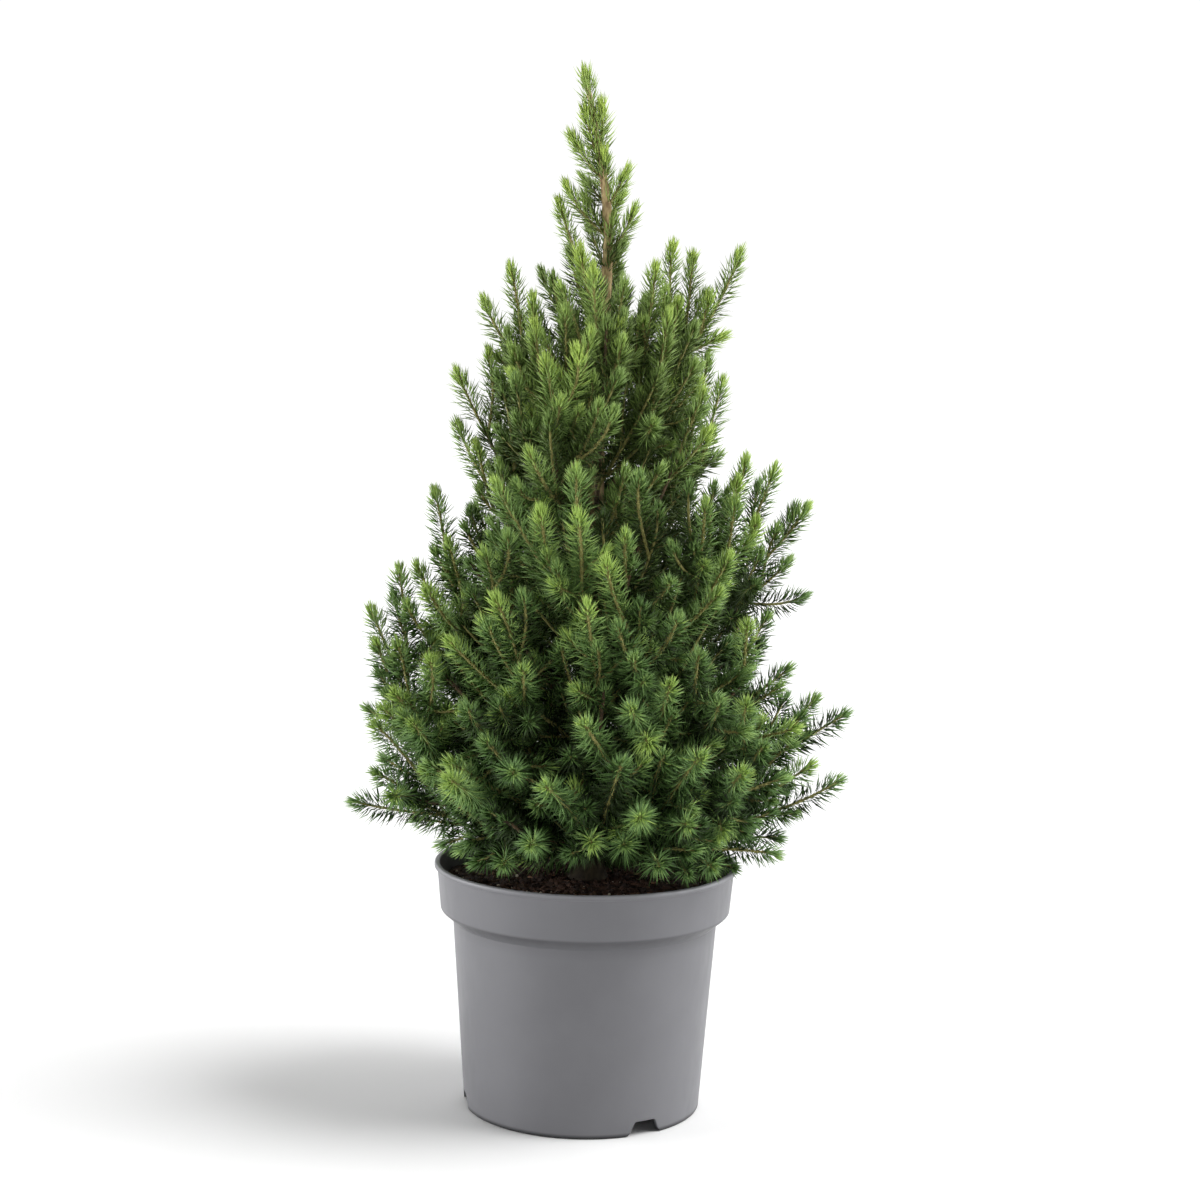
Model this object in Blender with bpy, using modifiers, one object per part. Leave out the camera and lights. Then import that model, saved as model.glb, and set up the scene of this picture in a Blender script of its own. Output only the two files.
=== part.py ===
"""Potted dwarf Alberta spruce: a young cone-shaped conifer in a round nursery pot.

Metres, +Z up. The origin is the middle of the pot's flat underside, and +X is the side
that the widest low bough leans to. The trunk stands in the compost and runs whole from
its flat foot to its tip. Five tiers of boughs leave it, steeper the higher they start,
and each bough ends where it enters its own mass of foliage. Every mass fills one cell
of the crown, between the tiers above and below and between its neighbours round the
trunk, so no two masses can meet. Two more masses sit round the leader.
"""
import math
import random
from collections import namedtuple

import bmesh
import bpy
from mathutils import Vector, noise

# ---------------------------------------------------------------- the pot, a 19 cm one
POT_HEIGHT = 0.155
RIM_RADIUS = 0.095
LIP_HEIGHT = 0.0032
LIP_ROUNDING = 0.0007
COLLAR_TOP_RADIUS = 0.0932
COLLAR_FOOT_RADIUS = 0.0908
COLLAR_FOOT_HEIGHT = 0.127
STEP_HEIGHT = 0.118
BODY_TOP_RADIUS = 0.0829
FOOT_RADIUS = 0.0742
FOOT_ROUNDING = 0.0015
WALL = 0.0014
FLOOR_THICKNESS = 0.002
# The floor is flat in the middle and lifts to a drainage channel behind the foot ring.
FLOOR_RADIUS = 0.0535
CHANNEL_SLOPE = 0.005
CHANNEL_HEIGHT = 0.0115
FOOT_RING_WIDTH = 0.0022

NOTCH_COUNT = 3
NOTCH_FIRST_TURN = 303.0
NOTCH_FOOT_WIDTH = 0.021
NOTCH_TOP_WIDTH = 0.0115
NOTCH_HEIGHT = 0.0105
NOTCH_DEPTH = 0.012
CUTTER_OVERRUN = 0.004

# ---------------------------------------------------------------- compost and trunk
TURN_STEPS = 48
SEAT_GAP = 0.0003
COMPOST_EDGE_HEIGHT = 0.142
COMPOST_MOUND_HEIGHT = 0.1445
COMPOST_MOUND_RADIUS = 0.018
COMPOST_SHOULDER_RADIUS = 0.055
COMPOST_SHOULDER_HEIGHT = 0.143

TRUNK_FOOT = COMPOST_MOUND_HEIGHT + SEAT_GAP
TRUNK_TOP = 0.640
TRUNK_X = 0.0015
TRUNK_RADIUS = 0.0082
TRUNK_TIP_RADIUS = 0.0012
TRUNK_TAPER = 0.85
ROOT_FLARE = 0.0048
ROOT_FLARE_HEIGHT = 0.009
LEAN_START = 0.515
LEAN_AT_TOP = -0.0115
TRUNK_RINGS = 18

# ---------------------------------------------------------------- boughs and foliage
# fork: height where the boughs leave the trunk. reach and tip_height: the end of the
# foliage. start: radius where it begins. bias: extra reach on the +X side, as a share.
# bough: its radius at the trunk. turn: compass angle of the first bough, in degrees.
Tier = namedtuple("Tier", "name count turn fork reach tip_height curve start bias bough")
TIERS = (
    Tier("skirt", 6, 4.0, 0.166, 0.158, 0.214, 1.25, 0.044, 0.045, 0.0031),
    Tier("lower", 6, 34.0, 0.192, 0.141, 0.312, 1.15, 0.034, -0.01, 0.0029),
    Tier("middle", 5, -4.0, 0.236, 0.122, 0.394, 1.12, 0.028, 0.06, 0.0026),
    Tier("upper", 5, 175.0, 0.296, 0.090, 0.460, 1.08, 0.022, -0.03, 0.0022),
    Tier("top", 4, 5.0, 0.372, 0.075, 0.530, 1.05, 0.016, 0.14, 0.0018),
)
MASS_GAP = 0.003
MASS_THICKEST = 0.050
SKIRT_UNDERSIDE = 0.1600
TOP_TIER_HALF_HEIGHT = 0.042
BOUGH_TAPER = 0.72
BOUGH_END_GAP = 0.0006
BOUGH_POINTS = 6
FORK_SCATTER = 0.004
REACH_SCATTER = 0.03

MASS_SIDES = 10
MASS_RINGS = 9
# Exponents under 1 make the two ends blunt, and a corner under 1 squares the section.
FATTEST_AT = 0.60
BASE_FULLNESS = 0.46
TIP_FULLNESS = 0.40
CORNER_FULLNESS = 0.70
LOBE_DEPTH = 0.24
LEADER_LOBE_DEPTH = 0.22
FINGER_DEPTH = 0.14
OUTER_SLANT = 0.16
RAGGEDNESS = 0.12
BUMPS_PER_SIDE = 1.2

# The leader's two masses: height of the foot and of the top, and widest radius.
LeaderMass = namedtuple("LeaderMass", "name foot top radius fattest_at")
LEADER_MASSES = (
    LeaderMass("leader_lower_mass", 0.4985, 0.5890, 0.0265, 0.52),
    LeaderMass("leader_tip_mass", 0.5905, 0.6490, 0.0155, 0.36),
)
TRUNK_CLEARANCE = 0.0004

SEED = 19


def clear_scene():
    """Start from an empty scene."""
    for thing in list(bpy.data.objects):
        bpy.data.objects.remove(thing, do_unlink=True)


def new_collection(name):
    """Link a new collection to the scene and return it."""
    collection = bpy.data.collections.new(name)
    bpy.context.scene.collection.children.link(collection)
    return collection


def new_material(name, colour, roughness, metallic=0.0):
    """Return a plain Principled material."""
    material = bpy.data.materials.new(name)
    material.use_nodes = True
    shader = material.node_tree.nodes["Principled BSDF"]
    shader.inputs["Base Color"].default_value = (*colour, 1.0)
    shader.inputs["Roughness"].default_value = roughness
    shader.inputs["Metallic"].default_value = metallic
    return material


def add_mesh_object(name, bm, collection, material):
    """Turn a bmesh into a smooth-shaded object of the collection."""
    mesh = bpy.data.meshes.new(name)
    bm.to_mesh(mesh)
    bm.free()
    mesh.shade_smooth()
    if material:
        mesh.materials.append(material)
    piece = bpy.data.objects.new(name, mesh)
    collection.objects.link(piece)
    return piece


def mark_as_cutter(piece):
    """Show a cutter as a wire that the renders leave out."""
    piece.hide_render = True
    piece.display_type = "WIRE"


def cut(piece, cutter):
    """Take the cutter's shape out of a piece."""
    boolean = piece.modifiers.new("Cut " + cutter.name, "BOOLEAN")
    boolean.operation = "DIFFERENCE"
    boolean.solver = "EXACT"
    boolean.object = cutter


def turned_piece(name, profile, collection, material):
    """Turn a profile of (radius, height) points round the Z axis."""
    bm = bmesh.new()
    corners = [bm.verts.new((radius, 0.0, height)) for radius, height in profile]
    for first, second in zip(corners, corners[1:]):
        bm.edges.new((first, second))
    piece = add_mesh_object(name, bm, collection, material)
    screw = piece.modifiers.new("Turn", "SCREW")
    screw.axis = "Z"
    screw.angle = math.tau
    screw.steps = TURN_STEPS
    screw.render_steps = TURN_STEPS
    screw.use_merge_vertices = True
    screw.merge_threshold = 0.00005
    screw.use_smooth_shade = True
    return piece


# ---------------------------------------------------------------- pot and compost
def inner_wall_radius(height):
    """Return the radius of the pot's inner wall at a height below the collar."""
    share = height / STEP_HEIGHT
    return FOOT_RADIUS + (BODY_TOP_RADIUS - FOOT_RADIUS) * share - WALL


def pot_profile():
    """Return the pot's wall, from the inner floor over the lip to the underside."""
    channel_top = CHANNEL_HEIGHT + FLOOR_THICKNESS
    lip_foot = POT_HEIGHT - LIP_HEIGHT
    lip_inside = COLLAR_TOP_RADIUS - WALL
    ring_inside = FOOT_RADIUS - FOOT_RING_WIDTH
    return [
        (0.0, FLOOR_THICKNESS),
        (FLOOR_RADIUS - WALL, FLOOR_THICKNESS),
        (FLOOR_RADIUS - WALL + CHANNEL_SLOPE, channel_top),
        (inner_wall_radius(channel_top), channel_top),
        (inner_wall_radius(STEP_HEIGHT), STEP_HEIGHT),
        (COLLAR_FOOT_RADIUS - WALL, COLLAR_FOOT_HEIGHT + WALL),
        (lip_inside, POT_HEIGHT - LIP_ROUNDING),
        (lip_inside + LIP_ROUNDING, POT_HEIGHT),
        (RIM_RADIUS - LIP_ROUNDING, POT_HEIGHT),
        (RIM_RADIUS, POT_HEIGHT - LIP_ROUNDING),
        (RIM_RADIUS - LIP_ROUNDING, lip_foot),
        (COLLAR_TOP_RADIUS, lip_foot - LIP_ROUNDING),
        (COLLAR_FOOT_RADIUS, COLLAR_FOOT_HEIGHT),
        (BODY_TOP_RADIUS, STEP_HEIGHT),
        (FOOT_RADIUS, FOOT_ROUNDING),
        (FOOT_RADIUS - FOOT_ROUNDING, 0.0),
        (ring_inside, 0.0),
        (ring_inside, CHANNEL_HEIGHT),
        (FLOOR_RADIUS + CHANNEL_SLOPE, CHANNEL_HEIGHT),
        (FLOOR_RADIUS, 0.0),
        (0.0, 0.0),
    ]


def make_notch_cutter(index, collection):
    """Make the wedge that cuts one drainage notch through the foot ring."""
    bm = bmesh.new()
    bmesh.ops.create_cube(bm, size=1.0)
    widening = (NOTCH_FOOT_WIDTH - NOTCH_TOP_WIDTH) / NOTCH_HEIGHT
    for vert in bm.verts:
        height = NOTCH_HEIGHT if vert.co.z > 0.0 else -CUTTER_OVERRUN
        vert.co.x = FOOT_RADIUS + vert.co.x * NOTCH_DEPTH
        vert.co.y *= NOTCH_TOP_WIDTH + widening * (NOTCH_HEIGHT - height)
        vert.co.z = height
    cutter = add_mesh_object("notch_cutter_%d" % (index + 1), bm, collection, None)
    turn = NOTCH_FIRST_TURN + index * 360.0 / NOTCH_COUNT
    cutter.rotation_euler.z = math.radians(turn)
    mark_as_cutter(cutter)
    return cutter


def make_pot(parts, cutters, plastic):
    """Make the moulded nursery pot with its drainage notches."""
    pot = turned_piece("pot", pot_profile(), parts, plastic)
    for index in range(NOTCH_COUNT):
        cut(pot, make_notch_cutter(index, cutters))


def make_soil(parts, compost):
    """Make the compost that fills the pot to a little below its rim."""
    gap = SEAT_GAP
    channel_top = CHANNEL_HEIGHT + FLOOR_THICKNESS + gap
    collar_share = (COMPOST_EDGE_HEIGHT - COLLAR_FOOT_HEIGHT) / (POT_HEIGHT - COLLAR_FOOT_HEIGHT)
    collar_radius = COLLAR_FOOT_RADIUS + (COLLAR_TOP_RADIUS - COLLAR_FOOT_RADIUS) * collar_share
    inset = WALL + 2.0 * gap
    profile = [
        (0.0, COMPOST_MOUND_HEIGHT),
        (COMPOST_MOUND_RADIUS, COMPOST_MOUND_HEIGHT),
        (COMPOST_SHOULDER_RADIUS, COMPOST_SHOULDER_HEIGHT),
        (collar_radius - inset, COMPOST_EDGE_HEIGHT),
        (COLLAR_FOOT_RADIUS - inset, COLLAR_FOOT_HEIGHT + WALL + gap),
        (inner_wall_radius(STEP_HEIGHT) - 2.0 * gap, STEP_HEIGHT + gap),
        (inner_wall_radius(channel_top) - 2.0 * gap, channel_top),
        (FLOOR_RADIUS - WALL + CHANNEL_SLOPE - gap, channel_top),
        (FLOOR_RADIUS - WALL - 2.0 * gap, FLOOR_THICKNESS + gap),
        (0.0, FLOOR_THICKNESS + gap),
    ]
    turned_piece("soil", profile, parts, compost)


# ---------------------------------------------------------------- limbs
def make_limb(name, path, radii, roundness, collection, material):
    """Make one tapering limb as a closed mesh, from its path and a radius at each point."""
    curve = bpy.data.curves.new(name, "CURVE")
    curve.dimensions = "3D"
    # At a bevel depth of 1 m each point's radius factor is its radius in metres.
    curve.bevel_depth = 1.0
    curve.bevel_resolution = roundness
    curve.use_fill_caps = True
    spline = curve.splines.new("POLY")
    spline.points.add(len(path) - 1)
    for point, place, radius in zip(spline.points, path, radii):
        point.co = (*place, 1.0)
        point.radius = radius
    sketch = bpy.data.objects.new(name + "_sketch", curve)
    collection.objects.link(sketch)
    bpy.context.view_layer.update()
    evaluated = sketch.evaluated_get(bpy.context.evaluated_depsgraph_get())
    bm = bmesh.new()
    bm.from_mesh(bpy.data.meshes.new_from_object(evaluated))
    bmesh.ops.remove_doubles(bm, verts=bm.verts, dist=0.00001)
    bmesh.ops.recalc_face_normals(bm, faces=bm.faces)
    place = sketch.matrix_world.copy()
    bpy.data.objects.remove(sketch, do_unlink=True)
    limb = add_mesh_object(name, bm, collection, material)
    limb.matrix_world = place
    return limb


def trunk_centre(height):
    """Return the trunk's centre at a height: upright, then leaning towards its tip."""
    share = max(0.0, (height - LEAN_START) / (TRUNK_TOP - LEAN_START))
    return Vector((TRUNK_X + LEAN_AT_TOP * share ** 1.3, 0.0, height))


def trunk_radius(height):
    """Return the trunk's radius: its taper plus the root flare near its foot."""
    share = min(1.0, max(0.0, (TRUNK_TOP - height) / (TRUNK_TOP - TRUNK_FOOT)))
    taper = TRUNK_TIP_RADIUS + (TRUNK_RADIUS - TRUNK_TIP_RADIUS) * share ** TRUNK_TAPER
    flare = ROOT_FLARE * math.exp(-(height - TRUNK_FOOT) / ROOT_FLARE_HEIGHT)
    return taper + flare


def trunk_heights():
    """Return the heights of the trunk's rings, closer together in the root flare."""
    length = TRUNK_TOP - TRUNK_FOOT
    return [TRUNK_FOOT + length * (i / (TRUNK_RINGS - 1)) ** 1.7 for i in range(TRUNK_RINGS)]


def make_trunk(parts, cutters, bark):
    """Make the trunk, and return the slightly fatter shape that others are cut with."""
    heights = trunk_heights()
    path = [trunk_centre(height) for height in heights]
    radii = [trunk_radius(height) for height in heights]
    make_limb("trunk", path, radii, 2, parts, bark)
    path[0].z -= CUTTER_OVERRUN
    path[-1].z += TRUNK_CLEARANCE
    room_radii = [radius + TRUNK_CLEARANCE for radius in radii]
    room = make_limb("trunk_room", path, room_radii, 2, cutters, None)
    mark_as_cutter(room)
    return room


# ---------------------------------------------------------------- tiers of boughs and masses
def spine_height(tier, radius):
    """Return the height of a tier's middle surface at a distance from the trunk."""
    rise = tier.tip_height - tier.fork
    return tier.fork + rise * (radius / tier.reach) ** tier.curve


def room_above(level, radius):
    """Return how far a mass may rise above its tier's middle surface."""
    if level + 1 == len(TIERS):
        return TOP_TIER_HALF_HEIGHT
    between = spine_height(TIERS[level + 1], radius) - spine_height(TIERS[level], radius)
    return min(MASS_THICKEST, 0.5 * (between - MASS_GAP))


def room_below(level, radius):
    """Return how far a mass may hang below its tier's middle surface."""
    if level == 0:
        return spine_height(TIERS[0], radius) - SKIRT_UNDERSIDE
    between = spine_height(TIERS[level], radius) - spine_height(TIERS[level - 1], radius)
    return min(MASS_THICKEST, 0.5 * (between - MASS_GAP))


def crown_point(angle, radius, height):
    """Return the point at a compass angle and a distance from the trunk."""
    return Vector((TRUNK_X + radius * math.cos(angle), radius * math.sin(angle), height))


def fullness(along, fattest_at):
    """Return how full a mass is along its length, from 0 at its ends to 1."""
    if along < fattest_at:
        return (along / fattest_at) ** BASE_FULLNESS
    return ((1.0 - along) / (1.0 - fattest_at)) ** TIP_FULLNESS


def squared(value):
    """Push a sine or cosine outwards, so that a section fills more of its corners."""
    return math.copysign(abs(value) ** CORNER_FULLNESS, value)


def wave(angle):
    """Return a smooth wave from 0 to 1."""
    return 0.5 + 0.5 * math.cos(angle)


def rag(point, seed):
    """Return a smooth unevenness from 0 to 1 at a point of the unit sphere."""
    bump = noise.noise(point * BUMPS_PER_SIDE + Vector((seed, 2.0 * seed, 0.0)))
    return min(1.0, max(0.0, 0.5 + bump))


def sphere_place(point):
    """Return a unit sphere's point as its place along from pole to pole, and its angle."""
    along = math.acos(max(-1.0, min(1.0, -point.z))) / math.pi
    return along, math.atan2(point.y, point.x)


def make_mass(level, angle, reach, seed, parts, needles, name):
    """Make one mass of foliage inside its own cell of the crown."""
    tier = TIERS[level]
    phase = random.Random(seed).uniform(0.0, math.tau)
    bm = bmesh.new()
    bmesh.ops.create_uvsphere(bm, u_segments=MASS_SIDES, v_segments=MASS_RINGS, radius=1.0)
    for vert in bm.verts:
        along, around = sphere_place(vert.co)
        fingers = FINGER_DEPTH * wave(2.0 * around + phase) + OUTER_SLANT * math.sin(around)
        length = along * (1.0 - fingers * math.sin(math.pi * along))
        radius = tier.start + (reach - tier.start) * length
        full = fullness(along, FATTEST_AT)
        full *= 1.0 - LOBE_DEPTH * along ** 2 * wave(3.0 * around + phase)
        full *= 1.0 - RAGGEDNESS * rag(vert.co, seed)
        room = room_above(level, radius) if vert.co.y > 0.0 else room_below(level, radius)
        half_turn = math.pi / tier.count - 0.5 * MASS_GAP / radius
        turn = angle + half_turn * full * squared(math.cos(around))
        height = spine_height(tier, radius) + room * full * squared(math.sin(around))
        vert.co = crown_point(turn, radius, height)
    bmesh.ops.recalc_face_normals(bm, faces=bm.faces)
    add_mesh_object(name, bm, parts, needles)


def make_bough(tier, angle, scatter, trunk_room, parts, bark, name):
    """Make one tapering bough from the trunk to the foot of its mass."""
    path = []
    radii = []
    for step in range(BOUGH_POINTS):
        share = step / (BOUGH_POINTS - 1)
        radius = share * tier.start
        lift = scatter * (1.0 - share) ** 2
        path.append(crown_point(angle, radius, spine_height(tier, radius) + lift))
        radii.append(tier.bough * (1.0 - (1.0 - BOUGH_TAPER) * share))
    end_direction = (path[-1] - path[-2]).normalized()
    path[-1] = path[-1] - end_direction * BOUGH_END_GAP
    bough = make_limb(name, path, radii, 1, parts, bark)
    cut(bough, trunk_room)


def make_tier(level, trunk_room, parts, bark, needles):
    """Make the boughs of one tier and the masses that they carry."""
    tier = TIERS[level]
    scatter = random.Random(SEED + level)
    for index in range(tier.count):
        angle = math.radians(tier.turn) + index * math.tau / tier.count
        reach = tier.reach * (1.0 + tier.bias * math.cos(angle))
        reach *= 1.0 + scatter.uniform(-REACH_SCATTER, REACH_SCATTER)
        fork_lift = scatter.uniform(-FORK_SCATTER, FORK_SCATTER)
        label = "%s_%%s_%d" % (tier.name, index + 1)
        seed = SEED + 10 * level + index
        make_bough(tier, angle, fork_lift, trunk_room, parts, bark, label % "bough")
        make_mass(level, angle, reach, seed, parts, needles, label % "mass")


def make_leader_mass(shape, seed, trunk_room, parts, needles):
    """Make one uneven mass round the leader, cut round the trunk."""
    bm = bmesh.new()
    bmesh.ops.create_uvsphere(bm, u_segments=MASS_SIDES, v_segments=MASS_RINGS, radius=1.0)
    for vert in bm.verts:
        along, around = sphere_place(vert.co)
        height = shape.foot + (shape.top - shape.foot) * along
        full = fullness(along, shape.fattest_at)
        full *= 1.0 - LEADER_LOBE_DEPTH * wave(3.0 * around + seed)
        full *= 1.0 - RAGGEDNESS * rag(vert.co, seed)
        centre = trunk_centre(min(height, TRUNK_TOP))
        radius = shape.radius * full
        vert.co = Vector((centre.x + radius * math.cos(around), radius * math.sin(around), height))
    bmesh.ops.recalc_face_normals(bm, faces=bm.faces)
    cut(add_mesh_object(shape.name, bm, parts, needles), trunk_room)


def main():
    """Build the whole plant in its pot."""
    clear_scene()
    parts = new_collection("potted_alberta_spruce")
    cutters = new_collection("cutters")
    plastic = new_material("grey_pot_plastic", (0.233, 0.233, 0.246), 0.48)
    compost = new_material("dark_compost", (0.018, 0.011, 0.008), 0.95)
    bark = new_material("spruce_bark", (0.19, 0.105, 0.055), 0.85)
    needles = new_material("spruce_needles", (0.075, 0.19, 0.035), 0.6)
    make_pot(parts, cutters, plastic)
    make_soil(parts, compost)
    trunk_room = make_trunk(parts, cutters, bark)
    for level in range(len(TIERS)):
        make_tier(level, trunk_room, parts, bark, needles)
    for index, shape in enumerate(LEADER_MASSES):
        make_leader_mass(shape, SEED + 90 + index, trunk_room, parts, needles)


main()
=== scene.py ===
import math
import random
from collections import namedtuple

import bmesh
import bpy
import numpy as np
from mathutils import Matrix, Vector, noise


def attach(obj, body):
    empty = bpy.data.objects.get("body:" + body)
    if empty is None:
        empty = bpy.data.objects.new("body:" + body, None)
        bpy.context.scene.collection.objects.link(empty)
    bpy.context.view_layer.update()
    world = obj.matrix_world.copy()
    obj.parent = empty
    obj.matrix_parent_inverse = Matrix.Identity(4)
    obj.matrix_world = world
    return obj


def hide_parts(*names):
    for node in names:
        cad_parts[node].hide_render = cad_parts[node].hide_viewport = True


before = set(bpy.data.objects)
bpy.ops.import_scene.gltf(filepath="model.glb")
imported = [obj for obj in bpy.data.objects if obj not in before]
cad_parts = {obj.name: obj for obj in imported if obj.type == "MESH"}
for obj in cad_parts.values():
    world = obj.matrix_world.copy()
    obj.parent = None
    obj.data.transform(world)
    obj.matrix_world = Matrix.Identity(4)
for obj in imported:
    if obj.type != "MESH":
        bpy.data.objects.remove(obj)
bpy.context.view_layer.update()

# A dwarf Alberta spruce in its nursery pot. The pot and the compost are turned shapes, the trunk
# and boughs are limbs with bark on them, and the crown is grown from those limbs: first the
# shoots that give this plant its outline, then the rest by a seeded rule. Measures are in metres.


# ---------------------------------------------------------------- the pot's and compost's measures
POT_HEIGHT = 0.155
RIM_RADIUS = 0.095
LIP_HEIGHT = 0.0034
COLLAR_TOP_RADIUS = 0.0932
COLLAR_FOOT_RADIUS = 0.0908
COLLAR_FOOT_HEIGHT = 0.127
STEP_HEIGHT = 0.118
BODY_TOP_RADIUS = 0.0829
FOOT_RADIUS = 0.0742
WALL = 0.0014
FLOOR_THICKNESS = 0.002
FLOOR_RADIUS = 0.0535
CHANNEL_SLOPE = 0.005
CHANNEL_HEIGHT = 0.0115
FOOT_RING_WIDTH = 0.0022
NOTCH_TURNS = (302.0, 66.0, 190.0)
NOTCH_OUTLINE = ((0.0144, -0.004), (0.0134, 0.0), (0.0118, 0.0007), (0.0107, 0.0017),
                 (0.0099, 0.0032), (0.0074, 0.0086), (0.0066, 0.0093))
NOTCH_DEPTH = 0.006
COMPOST_GAP = 0.0006
COMPOST_EDGE_HEIGHT = 0.142
COMPOST_MOUND_HEIGHT = 0.1445
COMPOST_EDGE_RADIUS = 0.0895
DRESSED_RADIUS = 0.087
COMPOST_RINGS = 62
COMPOST_STEPS = 144
# The compost's unevenness, coarse to fine: the depth, the bumps to a metre and a shift of each.
COMPOST_RELIEF = ((0.0011, 55.0, (0, 0, 0)), (0.0008, 170.0, (3, 1, 0)), (0.0005, 480.0, (7, 5, 0)))
# What lies on the compost: how many, the smallest and the largest size, the shape, and the finish.
COMPOST_DRESSING = (
    ("compost_crumbs", 1500, 0.0006, 0.0021, (1.0, 1.0, 0.8), "peat_crumbs", "#4B3427", 0.9),
    ("compost_clods", 900, 0.0006, 0.0024, (1.0, 0.9, 0.8), "peat_clods", "#2C1D15", 0.9),
    ("bark_flakes", 210, 0.0012, 0.0042, (1.0, 0.5, 0.22), "composted_bark", "#86644C", 0.85),
    ("bark_flakes_dark", 260, 0.0012, 0.0050, (1.0, 0.45, 0.22), "composted_bark_dark", "#573C2C", 0.86),
    ("perlite_grains", 70, 0.0006, 0.0015, (1.0, 0.9, 0.8), "perlite", "#CFC4B0", 0.88),
)
POT_STEPS = 168
LIP_FILLET_STEPS = 5
MERGE_DISTANCE = 0.00001

# ---------------------------------------------------------------- the limbs' measures
TRUNK_FOOT = 0.1448
TRUNK_TOP = 0.640
TRUNK_X = 0.0015
TRUNK_RADIUS = 0.0082
TRUNK_TIP_RADIUS = 0.0012
TRUNK_TAPER = 0.85
ROOT_FLARE = 0.0048
ROOT_FLARE_HEIGHT = 0.009
LEAN_START = 0.545
BOW_START = 0.46
TRUNK_BOW = 0.0045
LEAN_AT_TOP = -0.0115
TRUNK_STEPS = 330
TRUNK_SIDES = 26
BOUGH_TAPER = 0.72
BOUGH_START = 0.0015
BOUGH_SHARE = 0.74
BOUGH_TIP_RADIUS = 0.0009
BOUGH_STEPS = 44
BOUGH_SIDES = 10
# How far the bark's flakes reach across a limb, and how deep their relief is.
TRUNK_BARK_RELIEF = (0.0030, 0.00045)
BOUGH_BARK_RELIEF = (0.0024, 0.00026)
FORK_SCATTER = 0.004
REACH_SCATTER = 0.03
PART_SEED = 19

# Each tier of the crown: how many boughs it has and the turn of the first, the height of its forks,
# its reach, the height and the curve of its spine, where its masses start, how much further it
# reaches to the right, and a bough's radius at the trunk.
Tier = namedtuple("Tier", "name count turn fork reach tip_height curve start bias bough")
TIERS = (
    Tier("skirt", 6, 4.0, 0.166, 0.158, 0.214, 1.25, 0.044, 0.045, 0.0031),
    Tier("lower", 6, 34.0, 0.192, 0.141, 0.312, 1.15, 0.034, -0.01, 0.0029),
    Tier("middle", 5, -4.0, 0.236, 0.122, 0.394, 1.12, 0.028, 0.06, 0.0026),
    Tier("upper", 5, 175.0, 0.296, 0.090, 0.460, 1.08, 0.022, -0.03, 0.0022),
    Tier("top", 4, 5.0, 0.372, 0.075, 0.530, 1.05, 0.016, 0.14, 0.0018),
)
MASSES = {tier.name: ["%s_mass_%d" % (tier.name, n + 1) for n in range(tier.count)] for tier in TIERS}
MASSES["leader"] = ["leader_lower_mass", "leader_tip_mass"]

# ---------------------------------------------------------------- the crown's measures
# How far shoot tips stand from the trunk at each height: to the right, to the left, and in depth.
CROWN_HEIGHTS = (0.150, 0.170, 0.200, 0.230, 0.250, 0.280, 0.310, 0.340, 0.370, 0.400, 0.430,
                 0.460, 0.490, 0.510, 0.530, 0.545, 0.560, 0.600)
CROWN_RIGHT = (0.070, 0.088, 0.128, 0.138, 0.138, 0.116, 0.108, 0.106, 0.106, 0.086, 0.070,
               0.072, 0.074, 0.056, 0.034, 0.018, 0.013, 0.008)
CROWN_LEFT = (0.040, 0.058, 0.108, 0.122, 0.126, 0.120, 0.116, 0.100, 0.084, 0.074, 0.074,
              0.074, 0.060, 0.044, 0.026, 0.018, 0.013, 0.008)
CROWN_DEPTH = (0.090, 0.104, 0.124, 0.136, 0.138, 0.134, 0.128, 0.120, 0.110, 0.100, 0.088,
               0.076, 0.066, 0.056, 0.038, 0.020, 0.013, 0.008)
# How steeply a shoot rises at each height, in degrees above the level.
RISE_HEIGHTS = (0.15, 0.20, 0.25, 0.30, 0.36, 0.43, 0.50, 0.56, 0.62)
RISE = (2.0, 14.0, 28.0, 42.0, 54.0, 63.0, 70.0, 66.0, 74.0)
# Dark hollows between the front shoots, which no other shoot closes: across, height and size.
HOLLOWS = ((0.011, 0.165, 0.020), (-0.042, 0.231, 0.010), (0.031, 0.347, 0.012), (0.009, 0.373, 0.009),
           (0.033, 0.418, 0.011), (-0.012, 0.198, 0.010), (0.068, 0.328, 0.009), (-0.020, 0.403, 0.007),
           (0.005, 0.535, 0.012), (0.004, 0.556, 0.014), (0.002, 0.578, 0.010))
# A gap beside the leader that no shoot closes, at the front or behind.
SKY_GAP = (0.0275, 0.528, 0.014)
# How far the leading shoots stand from the trunk, at the front.
FRONT_HEIGHTS = (0.150, 0.170, 0.195, 0.22, 0.25, 0.28, 0.31, 0.34, 0.385, 0.41, 0.44, 0.46, 0.50, 0.53,
                 0.55, 0.58, 0.60, 0.65)
FRONT_REACH = (0.128, 0.140, 0.155, 0.160, 0.158, 0.150, 0.142, 0.137, 0.128, 0.118, 0.100, 0.090, 0.082,
               0.075, 0.050, 0.024, 0.018, 0.008)
FRONT_SHARE = 0.93
# The camera, and the steps across its square frame that the leading shoots are placed by.
CAMERA_PLACE = Vector((0.0054, -1.40, 0.4683))
CAMERA_PITCH = math.radians(90.0 - 6.045)
CAMERA_ROLL = math.radians(1.198)
CAMERA_TURN = Matrix.Rotation(CAMERA_PITCH, 3, "X") @ Matrix.Rotation(CAMERA_ROLL, 3, "Z")
CAMERA_LENS = 67.97
SENSOR_WIDTH = 36.0
FRAME_STEPS = 1200.0
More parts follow.
